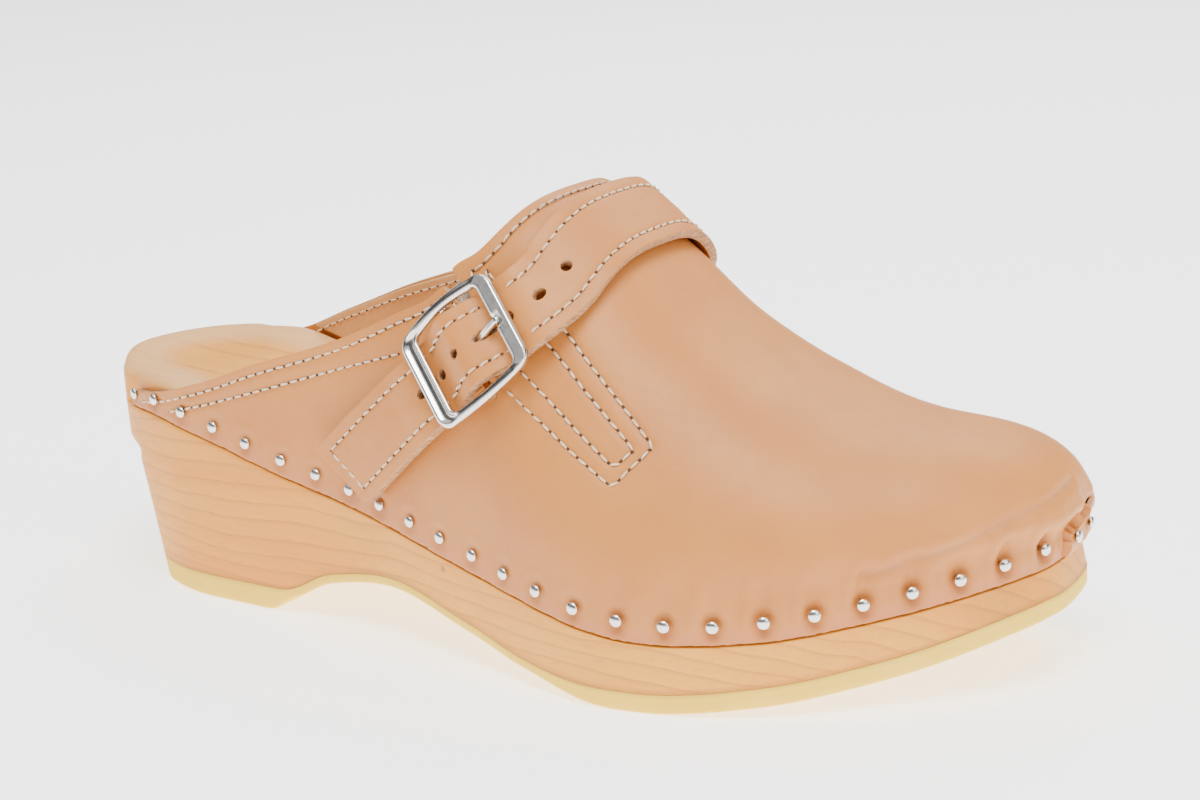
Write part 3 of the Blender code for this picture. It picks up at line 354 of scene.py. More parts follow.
def edge_normal(angle):
    along = edge(angle + 0.01) - edge(angle - 0.01)
    return Vector((along.y, -along.x)).normalized()


def middle_y(x):
    angle = math.acos(1 - 2 * min(max(x / SOLE_LENGTH, 0.0), 1.0))
    return (edge_y(angle) + edge_y(-angle)) / 2


def opening_z(x, y):
    """The height of the opening's edge, which changes from the lateral to the medial line."""
    medial = smoothstep(-0.025, 0.020, y)
    return lateral_opening_z(x) + (medial_opening_z(x) - lateral_opening_z(x)) * medial


def ledge_z(x):
    share = x / SOLE_LENGTH
    fall = (HEEL_LEDGE - BALL_LEDGE) * ledge_fall(share)
    return BALL_LEDGE + fall + (TOE_LEDGE - BALL_LEDGE) * ledge_toe(share)


def wood_bottom_z(x):
    return wood_bottom(x / SOLE_LENGTH)


def rubber_bottom_z(x):
    return np.maximum(0.0, wood_bottom_z(x) - rubber_depth(x / SOLE_LENGTH))


def arch(angle, rise, hem=CLEARANCE):
    """Points of the upper's outside at this angle, from rise 0 at its lower edge to 1 at the crest."""
    rise = np.asarray(rise, float)
    start, outward = edge(angle), edge_normal(angle)
    share = start.x / SOLE_LENGTH
    foot = ledge_z(start.x) + hem
    top_x = start.x - TOE_REACH * smoothstep(0.60, 1.0, share)
    top_y = middle_y(top_x) + CREST_SHIFT
    power = float(boxiness(share))
    cosine, sine = np.cos(rise * math.pi / 2), np.sin(rise * math.pi / 2)
    cosine = np.maximum(cosine, 0.0)
    reach = (cosine**power + sine**power) ** (-1 / power)
    inward, up = reach * cosine, reach * sine
    bulge = TOE_BULGE * bulge_share(share) * smoothstep(0.22, 0.50, up)
    lean = 1 - inward_lean(share) * smoothstep(0.18, 0.80, up)
    x = top_x + (start.x + outward.x * bulge - top_x) * inward * lean
    y = top_y + (start.y + outward.y * bulge - top_y) * inward * lean
    z = foot + (crest_height(x / SOLE_LENGTH) - foot) * up
    return np.stack([x, y, z], axis=-1)


def first_column_y():
    """The lowest y of the CAD sole, whose outline is faceted."""
    return min(edge_y(2 * math.pi * i / CAD_COLUMNS) for i in range(CAD_COLUMNS))


SOLE_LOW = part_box("wooden_sole")[0]
ORIGIN = Vector((SOLE_LOW[0], SOLE_LOW[1] - first_column_y(), 0.0))


# ---------------------------------------------------------------- mesh helpers


def add_mesh(name, points, faces, materials, body="clog", slots=None, weld=1e-6):
    """A smooth-shaded piece from points in the clog's own frame, riding on a CAD body."""
    mesh = bpy.data.meshes.new(name)
    shift = np.array(ORIGIN)
    mesh.from_pydata([tuple(p) for p in np.asarray(points, float) + shift], [], faces)
    for material in materials:
        mesh.materials.append(material)
    if slots is not None:
        mesh.polygons.foreach_set("material_index", slots)
    bm = bmesh.new()
    bm.from_mesh(mesh)
    bmesh.ops.remove_doubles(bm, verts=bm.verts, dist=weld)
    bmesh.ops.recalc_face_normals(bm, faces=bm.faces)
    bm.to_mesh(mesh)
    bm.free()
    mesh.shade_smooth()
    obj = bpy.data.objects.new(name, mesh)
    bpy.context.scene.collection.objects.link(obj)
    if body:
        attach(obj, body)
    return obj


def grid_faces(rows, columns, closed=False):
    """Quads of a grid stored row by row."""
    faces = []
    for row in range(rows - 1):
        for column in range(columns if closed else columns - 1):
            right = (column + 1) % columns
            base, above = row * columns, (row + 1) * columns
            faces.append((base + column, base + right, above + right, above + column))
    return faces


def add_modifier(obj, kind, **settings):
    modifier = obj.modifiers.new(kind.lower(), kind)
    for key, value in settings.items():
        setattr(modifier, key, value)
    return modifier


def apply_modifiers(obj):
    graph = bpy.context.evaluated_depsgraph_get()
    mesh = bpy.data.meshes.new_from_object(obj.evaluated_get(graph))
    obj.modifiers.clear()
    obj.data = mesh
    return obj


def point_tree(points):
    tree = kdtree.KDTree(len(points))
    for i, point in enumerate(points):
        tree.insert(point, i)
    tree.balance()
    return tree


def nearest_distances(points, tree):
    return np.array([tree.find(point)[2] for point in points])


# ---------------------------------------------------------------- materials


class Nodes:
    """Short calls for building one material's nodes."""

    def __init__(self, name, roughness=0.5, metallic=0.0, **sockets):
        self.material = bpy.data.materials.new(name)
        self.material.use_nodes = True
        self.tree = self.material.node_tree
        self.shader = self.tree.nodes["Principled BSDF"]
        self.shader.inputs["Roughness"].default_value = roughness
        self.shader.inputs["Metallic"].default_value = metallic
        for key, value in sockets.items():
            self.shader.inputs[key.replace("_", " ").title().replace("Ior", "IOR")].default_value = value
        self.place = self.add("ShaderNodeTexCoord").outputs["Object"]

    def add(self, kind, settings=None, **inputs):
        node = self.tree.nodes.new(kind)
        for key, value in (settings or {}).items():
            setattr(node, key, value)
        for key, value in inputs.items():
            socket = node.inputs[key.replace("_", " ").title()]
            if isinstance(value, bpy.types.NodeSocket):
                self.tree.links.new(value, socket)
            else:
                socket.default_value = value
        return node

    def stretched(self, scale, rotation=(0, 0, 0)):
        return self.add("ShaderNodeMapping", vector=self.place, scale=scale, rotation=rotation).outputs[0]

    def noise(self, scale, detail=3.0, roughness=0.5, vector=None, distortion=0.0):
        node = self.add(
            "ShaderNodeTexNoise", vector=vector or self.place, scale=scale, detail=detail,
            roughness=roughness, distortion=distortion,
        )
        return node.outputs["Fac"]

    def voronoi(self, scale, vector=None, feature="F1"):
        place = vector or self.place
        node = self.add("ShaderNodeTexVoronoi", {"feature": feature}, vector=place, scale=scale)
        return node.outputs["Distance"]

    def ramp(self, value, *stops):
        """A colour ramp from (position, colour) stops."""
        node = self.tree.nodes.new("ShaderNodeValToRGB")
        node.color_ramp.interpolation = "LINEAR"
        elements = node.color_ramp.elements
        while len(elements) < len(stops):
            elements.new(0.5)
        for element, (position, colour) in zip(elements, stops):
            element.position = position
            element.color = (*colour, 1.0) if len(colour) == 3 else colour
        self.tree.links.new(value, node.inputs["Fac"])
        return node.outputs["Color"]

    def math(self, operation, a, b=0.0):
        node = self.tree.nodes.new("ShaderNodeMath")
        node.operation = operation
        for socket, value in zip(node.inputs, (a, b)):
            if isinstance(value, bpy.types.NodeSocket):
                self.tree.links.new(value, socket)
            else:
                socket.default_value = value
        return node.outputs[0]

    def mix(self, share, a, b, blend="MIX"):
        node = self.tree.nodes.new("ShaderNodeMix")
        node.data_type = "RGBA"
        node.blend_type = blend
        for name, value in (("Factor", share), ("A", a), ("B", b)):
            kinds = ("VALUE",) if name == "Factor" else ("RGBA",)
            socket = next(s for s in node.inputs if s.name == name and s.type in kinds)
            if isinstance(value, bpy.types.NodeSocket):
                self.tree.links.new(value, socket)
            elif name == "Factor":
                socket.default_value = value
            else:
                socket.default_value = (*value, 1.0)
        return next(s for s in node.outputs if s.type == "RGBA")

    def attribute(self, name):
        node = self.tree.nodes.new("ShaderNodeAttribute")
        node.attribute_name = name
        return node.outputs["Fac"]

    def near(self, place, radius):
        """1 at this place in the row frame, falling to 0 at the radius."""
        node = self.add("ShaderNodeVectorMath", {"operation": "DISTANCE"})
        self.tree.links.new(self.place, node.inputs[0])
        node.inputs[1].default_value = place
        scaled = self.math("DIVIDE", node.outputs["Value"], radius)
        return self.math("MAXIMUM", self.math("SUBTRACT", 1.0, scaled), 0.0)

    def colour(self, value):
        self.tree.links.new(value, self.shader.inputs["Base Color"])

    def rough(self, value, low, high):
        node = self.add("ShaderNodeMapRange", value=value)
        node.inputs["To Min"].default_value = low
        node.inputs["To Max"].default_value = high
        self.tree.links.new(node.outputs[0], self.shader.inputs["Roughness"])

    def bump(self, *layers):
        """Height layers as (height, strength, distance), each on top of the last."""
        normal = None
        for height, strength, distance in layers:
            node = self.add("ShaderNodeBump", height=height, strength=strength, distance=distance)
            if normal:
                self.tree.links.new(normal, node.inputs["Normal"])
            normal = node.outputs[0]
        self.tree.links.new(normal, self.shader.inputs["Normal"])


def leather_material(name, base, deep, hem_tint_and_crease_shade=True):
    """Smooth vegetable-tanned leather: soft clouding, fine grain and open pores; with the flag, a tint
    along the hem and painted shade round the nail heads and along the toe crease.
    """
    n = Nodes(name, roughness=0.5, specular_ior_level=0.42)
    cloud = n.noise(38.0, 4.0, 0.55)
    colour = n.ramp(cloud, (0.30, deep), (0.62, base))
    fleck = n.noise(900.0, 2.0, 0.6)
    colour = n.mix(n.math("MULTIPLY", fleck, 0.16), colour, deep)
    pores = n.voronoi(1300.0)
    pore = n.math("LESS_THAN", pores, 0.10)
    colour = n.mix(n.math("MULTIPLY", pore, 0.22), colour, (0.40, 0.21, 0.11))
    if hem_tint_and_crease_shade:
        hem = n.attribute("hem")
        colour = n.mix(n.math("MULTIPLY", hem, 0.55), colour, (0.60, 0.20, 0.070))
        # Painted shade: the crease attribute darkens the colour round the nail heads and along the toe
        # crease.
        crease = n.attribute("crease")
        colour = n.mix(n.math("MULTIPLY", crease, 0.5), colour, (0.42, 0.20, 0.10))
    n.colour(colour)
    n.rough(n.noise(260.0, 3.0, 0.6), 0.42, 0.60)
    grain = n.voronoi(1900.0, feature="SMOOTH_F1")
    coarse, fine = n.noise(420.0, 4.0, 0.6), n.noise(4200.0, 2.0)
    n.bump((coarse, 0.10, 0.0006), (grain, 0.16, 0.0002), (fine, 0.10, 0.0001))
    return n.material


def raw_edge_material():
    """The cut edge of the leather: fibrous, with darker and lighter layers."""
    n = Nodes("leather_raw_edge", roughness=0.85)
    fibres = n.noise(1.0, 4.0, 0.7, vector=n.stretched((500.0, 500.0, 1900.0)))
    dark, mid, pale = (0.26, 0.12, 0.05), (0.50, 0.26, 0.115), (0.68, 0.41, 0.21)
    n.colour(n.ramp(fibres, (0.32, dark), (0.52, mid), (0.70, pale)))
    n.bump((fibres, 0.5, 0.0004))
    return n.material


def lining_material():
    n = Nodes("lining_leather", roughness=0.8)
    cloud = n.noise(55.0, 4.0, 0.6)
    colour = n.ramp(cloud, (0.3, (0.70, 0.36, 0.12)), (0.65, (0.80, 0.46, 0.18)))
    nap = n.noise(1.0, 3.0, 0.65, vector=n.stretched((900.0, 900.0, 500.0)))
    n.colour(n.mix(n.math("MULTIPLY", nap, 0.25), colour, (0.52, 0.29, 0.13)))
    n.bump((nap, 0.22, 0.0003), (n.noise(3000.0), 0.12, 0.0001))
    return n.material


def wood_material():
    """Pale wood with its grain along the sole, paler and sanded on the footbed, and small knots."""
    n = Nodes("sole_wood", roughness=0.5, specular_ior_level=0.35)
    warp = n.noise(1.0, 2.0, 0.5, vector=n.stretched((9.0, 26.0, 26.0)))
    tilted = n.stretched((1.0, 1.0, 1.0), (math.radians(24), math.radians(-2.5), 0.0))
    swirl = n.add("ShaderNodeVectorMath", {"operation": "MULTIPLY_ADD"})
    n.tree.links.new(warp, swirl.inputs[0])
    swirl.inputs[1].default_value = (0.0, 0.012, 0.016)
    n.tree.links.new(tilted, swirl.inputs[2])
    rings = n.add(
        "ShaderNodeTexWave", {"wave_type": "BANDS", "bands_direction": "Z", "wave_profile": "SAW"},
        vector=swirl.outputs[0], scale=82.0, distortion=1.6, detail=2.0, detail_scale=0.6,
    ).outputs["Fac"]
    streaks = n.noise(1.0, 4.0, 0.65, vector=n.stretched((16.0, 620.0, 620.0)))
    broad = n.noise(1.0, 3.0, 0.5, vector=n.stretched((7.0, 60.0, 60.0)))
    colour = n.ramp(broad, (0.30, (0.84, 0.31, 0.022)), (0.68, (0.97, 0.43, 0.040)))
    levels = ((0.0, 0.0), (0.72, 0.16), (0.96, 0.75), (1.0, 0.0))
    ring_line = n.ramp(rings, *((stop, (level,) * 3) for stop, level in levels))
    colour = n.mix(n.math("MULTIPLY", ring_line, 0.75), colour, (0.50, 0.16, 0.02))
    colour = n.mix(n.math("MULTIPLY", streaks, 0.45), colour, (0.56, 0.21, 0.03))
    dashes = n.voronoi(1.0, vector=n.stretched((85.0, 1500.0, 1500.0)))
    dash = n.math("LESS_THAN", dashes, 0.16)
    colour = n.mix(n.math("MULTIPLY", dash, 0.5), colour, (0.40, 0.16, 0.045))
    colour = n.mix(n.math("MULTIPLY", n.attribute("footbed"), 0.72), colour, (0.78, 0.46, 0.20))
    for place, radius, strength in KNOTS:
        world = Vector(place) + ORIGIN
        spot = n.math("POWER", n.near(world, radius), 0.6)
        colour = n.mix(n.math("MULTIPLY", spot, strength), colour, (0.23, 0.095, 0.035))
    colour = n.mix(n.math("MULTIPLY", n.attribute("seam"), 0.55), colour, (0.42, 0.15, 0.02))
    n.colour(colour)
    n.rough(streaks, 0.42, 0.62)
    n.bump((streaks, 0.16, 0.0003), (rings, 0.05, 0.0003))
    return n.material


# Knots and specks on the wood, as (place in the clog's own frame, radius, strength).
KNOTS = (
    ((0.022, -0.026, 0.030), 0.0052, 0.55),
    ((0.014, -0.020, 0.031), 0.0028, 0.45),
    ((0.030, -0.031, 0.021), 0.0018, 0.40),
    ((0.137, -0.0445, 0.0235), 0.0011, 0.95),
    ((0.2175, -0.0525, 0.0125), 0.0012, 0.95),
    ((0.232, -0.045, 0.0165), 0.0008, 0.70),
    ((0.268, -0.010, 0.0200), 0.0110, 0.35),
)


def rubber_material():
    n = Nodes("outsole_rubber", roughness=0.78)
    cloud = n.noise(60.0, 4.0, 0.6)
    colour = n.ramp(cloud, (0.3, (0.90, 0.58, 0.045)), (0.7, (0.97, 0.65, 0.065)))
    speck = n.math("LESS_THAN", n.voronoi(700.0), 0.09)
    colour = n.mix(n.math("MULTIPLY", speck, 0.3), colour, (0.50, 0.33, 0.12))
    n.colour(n.mix(n.math("MULTIPLY", n.attribute("seam"), 0.4), colour, (0.55, 0.30, 0.08)))
    n.bump((n.noise(1500.0, 3.0, 0.7), 0.25, 0.0002), (n.noise(160.0), 0.12, 0.0005))
    return n.material


def thread_material():
    n = Nodes("waxed_thread", roughness=0.62)
    ply = n.noise(2600.0, 2.0)
    n.colour(n.ramp(ply, (0.3, (0.58, 0.44, 0.28)), (0.6, (0.83, 0.69, 0.50))))
    n.bump((ply, 0.4, 0.0002))
    return n.material


# Nearly black, as painted shade in the needle holes.
def hole_shade_material():
    n = Nodes("needle_hole_shade", roughness=0.9)
    n.colour(n.ramp(n.noise(3000.0), (0.3, (0.045, 0.018, 0.008)), (0.7, (0.11, 0.05, 0.025))))
    return n.material


def elastic_material():
    n = Nodes("gore_elastic", roughness=0.9)
    ribs = n.add(
        "ShaderNodeTexWave", {"bands_direction": "X"},
        vector=n.stretched((1, 1, 1), (0, math.radians(35), 0)),
        scale=330.0, distortion=0.4, detail=2.0,
    ).outputs["Fac"]
    n.colour(n.ramp(ribs, (0.1, (0.60, 0.51, 0.38)), (0.7, (0.88, 0.81, 0.68))))
    n.bump((ribs, 0.6, 0.0004), (n.noise(2500.0), 0.2, 0.0001))
    return n.material


def metal_material(name, base, low, high, scale=500.0):
    """Plated metal with faint clouding and hairline wear."""
    n = Nodes(name, roughness=low, metallic=1.0)
    wear = n.noise(scale, 4.0, 0.7)
    darker = tuple(c * 0.86 for c in base)
    n.colour(n.ramp(wear, (0.35, darker), (0.6, base)))
    n.rough(wear, low, high)
    n.bump((n.noise(1.0, 3.0, vector=n.stretched((2400.0, 300.0, 2400.0))), 0.05, 0.0001))
    return n.material


def floor_material():
    n = Nodes("floor", roughness=0.7, specular_ior_level=0.15)
    n.colour(n.ramp(n.noise(3.0), (0.3, (0.94, 0.94, 0.94)), (0.7, (0.955, 0.955, 0.955))))
    n.shader.inputs["Emission Color"].default_value = (1.0, 1.0, 1.0, 1.0)
    n.shader.inputs["Emission Strength"].default_value = 1.7
    return n.material


# ---------------------------------------------------------------- sole and outsole

SOLE_COLUMNS = 360
heel_groove = curve_through(GROOVE)


def sole_angles():
    return [2 * math.pi * i / SOLE_COLUMNS for i in range(SOLE_COLUMNS)]


def side_point(angle, height, taper, inset=0.0):
    """A point of the side wall, with the heel's slant and groove, and the toe's flare."""
    start = edge(angle)
    share = start.x / SOLE_LENGTH
    taper *= 1 - 2.2 * smoothstep(0.88, 1.0, share)
    place = start - edge_normal(angle) * (taper + inset)
    lean = max(0.0, 1 - height / GROOVE_HEIGHT)
    slant = HEEL_SLANT * lean * (1 - smoothstep(0.06, 0.22, share))
    groove = heel_groove(height) * (1 - smoothstep(0.055, 0.10, share))
    return place.x + slant + groove, place.y


def bottom_ring(inset, height):
    ring = []
    for angle in sole_angles():
        start = edge(angle)
        at_heel = start.x < 0.3 * SOLE_LENGTH
        x, y = side_point(angle, float(height(start.x)) if at_heel else 0.0, SIDE_TAPER, inset)
        ring.append((x, y, float(height(x))))
    return np.array(ring)


def wall_ring(height_at_heel):
    low, high = float(wood_bottom_z(0.0)), float(ledge_z(0.0))
    share = (height_at_heel - low) / (high - low)
    ring = []
    for angle in sole_angles():
        start = edge(angle)
        low, high = float(wood_bottom_z(start.x)), float(ledge_z(start.x))
        x, y = side_point(angle, height_at_heel, SIDE_TAPER * (1 - share))
        ring.append((x, y, low + (high - low) * share))
    return np.array(ring)


def rebate(angle):
    """How far the wood steps in behind the leather, which starts a little way round from the back."""
    from_back = min(angle, 2 * math.pi - angle)
    return (LEATHER + CLEARANCE) * float(smoothstep(LEATHER_START - 0.09, LEATHER_START, from_back))


def top_ring(inset, above_ledge, rebated=True):
    ring = []
    for angle in sole_angles():
        place = edge(angle)
        start_x = place.x
        place = place - edge_normal(angle) * (inset + (rebate(angle) if rebated else 0.0))
        ring.append((place.x, place.y, float(ledge_z(start_x)) + above_ledge))
    return np.array(ring)


def inner_rings(outer, shares, height):
    rings = []
    mirror = outer[[-i % len(outer) for i in range(len(outer))]]
    middle = SOLE_LENGTH / 2
    spine_x = middle + ((outer[:, 0] + mirror[:, 0]) / 2 - middle) * 0.80
    spine_y = np.array([middle_y(x) for x in spine_x])
    for share in shares:
        x = outer[:, 0] + (spine_x - outer[:, 0]) * share
        y = outer[:, 1] + (spine_y - outer[:, 1]) * share
        rings.append(np.stack([x, y, height(x, share)], axis=-1))
    return rings


def paint(obj, name, values):
    """A float attribute on the mesh's points, from a function of the point in the clog's own frame."""
    mesh = obj.data
    found = np.empty(len(mesh.vertices) * 3)
    mesh.vertices.foreach_get("co", found)
    points = found.reshape(-1, 3) - np.array(ORIGIN)
    layer = mesh.attributes.new(name, "FLOAT", "POINT")
    layer.data.foreach_set("value", np.ascontiguousarray(values(points), np.float32))


def make_sole(wood):
    underside = bottom_ring(0.0, wood_bottom_z)
    rings = inner_rings(underside, (1.0, 0.8, 0.6, 0.4, 0.2), lambda x, share: wood_bottom_z(x))
    rings.append(underside)
    heights = [HEEL_RUBBER + 0.0004, HEEL_RUBBER + 0.0012, 0.012, 0.018, 0.024, 0.029]
    heights += [0.0320, 0.0328, 0.0336, 0.0342, 0.0348, 0.0354, 0.0360, 0.0366, 0.0372, 0.0377]
    heights += [0.0382, 0.0390, 0.0415, 0.0445, 0.0465]
    rings += [wall_ring(height) for height in heights]
    rings.append(wall_ring(HEEL_LEDGE - 0.0002))
    rings.append(top_ring(0.0002, 0.0, rebated=False))
    rings.append(top_ring(0.0, 0.0001))
    rings.append(top_ring(0.0, 0.0030))
    rings.append(top_ring(0.0, RIM_ABOVE_LEDGE - 0.0022))
    for i in range(1, 7):
        turn = math.pi / 2 * i / 6
        inset, lift = 0.0022 * (1 - math.cos(turn)), 0.0022 * math.sin(turn)
        rings.append(top_ring(inset, RIM_ABOVE_LEDGE - 0.0022 + lift))

    def dished(x, share):
        cup = DISH_DEPTH * smoothstep(0.02, 0.75, share)
        return ledge_z(x) + RIM_ABOVE_LEDGE - cup

    shares = (0.04, 0.09, 0.15, 0.22, 0.30, 0.38, 0.46, 0.55, 0.65, 0.76, 0.88, 1.0)
    rings += inner_rings(rings[-1], shares, dished)
    points = np.concatenate(rings)
    obj = add_mesh("carved_sole", points, grid_faces(len(rings), SOLE_COLUMNS, True), [wood])
    paint(obj, "footbed", lambda p: smoothstep(0.0066, 0.0086, p[:, 2] - ledge_z(p[:, 0])))
    paint(obj, "seam", lambda p: 1 - smoothstep(0.0002, 0.0011, p[:, 2] - wood_bottom_z(p[:, 0])))
    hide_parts("wooden_sole")
    return obj


def make_outsole(rubber):
    ground = bottom_ring(0.0012, rubber_bottom_z)
    rings = inner_rings(ground, (1.0, 0.7, 0.4, 0.15), lambda x, share: rubber_bottom_z(x))
    for inset, lift in ((0.0012, 0.0), (0.0006, 0.0001), (0.0002, 0.0004), (0.0, 0.0009)):
        ring = bottom_ring(inset, rubber_bottom_z)
        ring[:, 2] += lift
        rings.append(ring)
    lower, upper = rings[-1], bottom_ring(0.0, wood_bottom_z)
    for share in (0.35, 0.7, 0.93):
        rings.append(lower + (upper - lower) * share)
    seam = bottom_ring(0.0002, wood_bottom_z)
    seam[:, 2] -= 0.0001
    rings.append(seam)
    inside = bottom_ring(0.0030, wood_bottom_z)
    inside[:, 2] -= 0.0001
    rings.append(inside)
    rings += inner_rings(inside, (0.4, 1.0), lambda x, share: wood_bottom_z(x) - 0.0001)
    points = np.concatenate(rings)
    obj = add_mesh("rubber_outsole", points, grid_faces(len(rings), SOLE_COLUMNS, True), [rubber])
    paint(obj, "seam", lambda p: smoothstep(-0.0008, -0.0001, p[:, 2] - wood_bottom_z(p[:, 0])))
    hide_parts("outsole")
    return obj


# ---------------------------------------------------------------- the upper's surface

COLUMNS = 400
HALF_ROWS = 170


def upper_grid():
    """The upper's outside as an array of points, by angle and from the lateral foot to the medial foot."""
    columns = []
    rises = np.linspace(0, 1, HALF_ROWS)
    for angle in np.linspace(LEATHER_START, math.pi, COLUMNS):
        fray = 0.0003 * noise.noise(Vector((angle * 95, 3.0, 0.0)))
        lateral = arch(angle, rises, hem=CLEARANCE + 0.0003 + fray)
        medial = arch(-angle, rises[-2::-1], hem=CLEARANCE + 0.0003 + fray)
        columns.append(np.concatenate([lateral, medial]))
    return np.array(columns)


def grid_normals(points):
    along = np.gradient(points, axis=0)
    over = np.gradient(points, axis=1)
    normals = np.cross(along, over)
    normals[-1] += normals[-1, ::-1] * np.sign((normals[-1] * normals[-1, ::-1]).sum(-1, keepdims=True))
    normals /= np.maximum(np.linalg.norm(normals, axis=-1, keepdims=True), 1e-12)
    from_middle = points - np.array((0.14, CREST_SHIFT, 0.03))
    return normals * np.sign((normals * from_middle).sum(-1, keepdims=True))


def opening_margin(points):
    """How far a point is from the foot opening and the slit in side view: negative inside them."""
    x, y, z = np.moveaxis(points, -1, 0)
    slope = (opening_z(x + 0.0005, y) - opening_z(x - 0.0005, y)) / 0.001
    margin = (opening_z(x, y) - z) / np.sqrt(1 + slope**2)
    along = (SLIT_END - SLIT_TOP).normalized()
    start = SLIT_TOP - along * 0.004 + Vector((-0.0004, -0.0008))
    length = (SLIT_END - start).length
    run = np.clip((x - start.x) * along.x + (z - start.y) * along.y, 0, length)
    away_from = np.hypot(x - start.x - along.x * run, z - start.y - along.y * run)
    slit = away_from - SLIT_WIDTH / 2 * (1.35 - 0.85 * run / length)
    return np.where(y < -0.02, np.minimum(margin, slit), margin)


def snapped(points, margin):
    """Moves the vertices nearest the margin's zero line onto it, so the cut follows the line."""
    moved, kept = points.copy(), margin.copy()
    best = np.full(margin.shape, 0.5)
    for axis, step in ((0, 1), (0, -1), (1, 1), (1, -1)):
        other_margin = np.roll(margin, -step, axis=axis)
        other_points = np.roll(points, -step, axis=axis)
        crosses = margin * other_margin < 0
        edge_row = [slice(None)] * 2
        edge_row[axis] = -1 if step == 1 else 0
        crosses[tuple(edge_row)] = False
        share = np.where(crosses, margin / np.where(crosses, margin - other_margin, 1), 1)
        better = crosses & (share <= best)
        best = np.where(better, share, best)
        moved[better] = (points + (other_points - points) * share[..., None])[better]
        kept[better] = 0.0
    return moved, kept


def kept_faces(margin):
    """Faces of the grid that lie outside the cut-away part."""
    rows, columns = margin.shape
    faces = []
    flat = margin.ravel()
    for row in range(rows - 1):
        for column in range(columns - 1):
            base = row * columns + column
            quad = (base, base + 1, base + columns + 1, base + columns)
            values = flat[list(quad)]
            if values.min() >= 0:
                faces.append(quad)
            elif values.max() > 0:
                corner = int(values.argmax())
                beside = (quad[corner - 1], quad[corner], quad[(corner + 1) % 4])
                if flat[beside[0]] >= 0 and flat[beside[2]] >= 0:
                    faces.append(beside)
    return faces


def thick_sheet(name, outside, inside, faces, materials, soft=0.0004, body="clog"):
    """A solid between two matching sheets, with its rim in the second material and rounded edges."""
    outside, inside = outside.reshape(-1, 3), inside.reshape(-1, 3)
    used = sorted({i for face in faces for i in face})
    places = {tuple(np.round(outside[i], 7)): i for i in reversed(used)}
    merged = {i: places[tuple(np.round(outside[i], 7))] for i in used}
    count = len(outside)
    front, rim_edges = [], {}
    for face in faces:
        ring = []
        for i in face:
            if merged[i] not in ring:
                ring.append(merged[i])
        if len(ring) < 3:
            continue
        front.append(tuple(ring))
        for a, b in zip(ring, ring[1:] + ring[:1]):
            rim_edges[(min(a, b), max(a, b))] = None if (min(a, b), max(a, b)) in rim_edges else (a, b)
    back = [tuple(i + count for i in reversed(face)) for face in front]
    rim = [(b, a, a + count, b + count) for a, b in filter(None, rim_edges.values())]
    slots = [0] * (2 * len(front)) + [len(materials) - 1] * len(rim)
    points = np.concatenate([outside, inside])
    used = sorted({i for face in front + back + rim for i in face})
    index = {old: new for new, old in enumerate(used)}
    all_faces = [tuple(index[i] for i in face) for face in front + back + rim]
    obj = add_mesh(name, points[used], all_faces, materials, body, slots)
    add_modifier(obj, "BEVEL", width=soft, segments=2, limit_method="ANGLE", angle_limit=math.radians(50))
    return apply_modifiers(obj)


GRID = upper_grid()
NORMALS = grid_normals(GRID)
MARGIN = opening_margin(GRID)


def surface_tree(points):
    rows, columns = points.shape[:2]
    flat = [Vector(p) for p in points.reshape(-1, 3)]
    return BVHTree.FromPolygons(flat, grid_faces(rows, columns))


SURFACE = surface_tree(GRID)


def away(point):
    """The closest place on the upper and its outward normal."""
    hit, normal, _, _ = SURFACE.find_nearest(point)
    inside = Vector((hit.x, CREST_SHIFT, 0.3 * INSTEP_HEIGHT))
    return hit, normal if normal.dot(hit - inside) > 0 else -normal


# ---------------------------------------------------------------- nails


def arc_angles(arcs, side):
    found, travelled, angle, step = [], 0.0, 0.0, 0.002
    for arc in arcs:
        while travelled < arc:
            travelled += (edge(side * -1 * (angle + step)) - edge(side * -1 * angle)).length
            angle += step
        found.append(-side * angle)
    return found


def side_length(side):
    steps = [edge(-side * math.pi * i / 400) for i in range(401)]
    return sum((b - a).length for a, b in zip(steps, steps[1:]))


def nail_places():
    lateral = [FIRST_NAIL_ARC + i * LATERAL_PITCH for i in range(LATERAL_NAILS)]
    room = side_length(-1) + side_length(1) - FIRST_NAIL_ARC - lateral[-1]
    medial = [FIRST_NAIL_ARC + i * room / MEDIAL_NAILS for i in range(MEDIAL_NAILS)]
    places = [(f"nail_lateral_{i + 1:02d}", angle) for i, angle in enumerate(arc_angles(lateral, -1))]
    places += [(f"nail_medial_{i + 1:02d}", angle) for i, angle in enumerate(arc_angles(medial, 1))]
    return places


def nail_height(x):
    """The height of a nail's middle, which drops towards the heel."""
    drop = NAIL_DROP_AT_HEEL * (1 - float(smoothstep(0.02, 0.20, x / SOLE_LENGTH)))
    return float(ledge_z(x)) + NAIL_ABOVE_LEDGE - drop


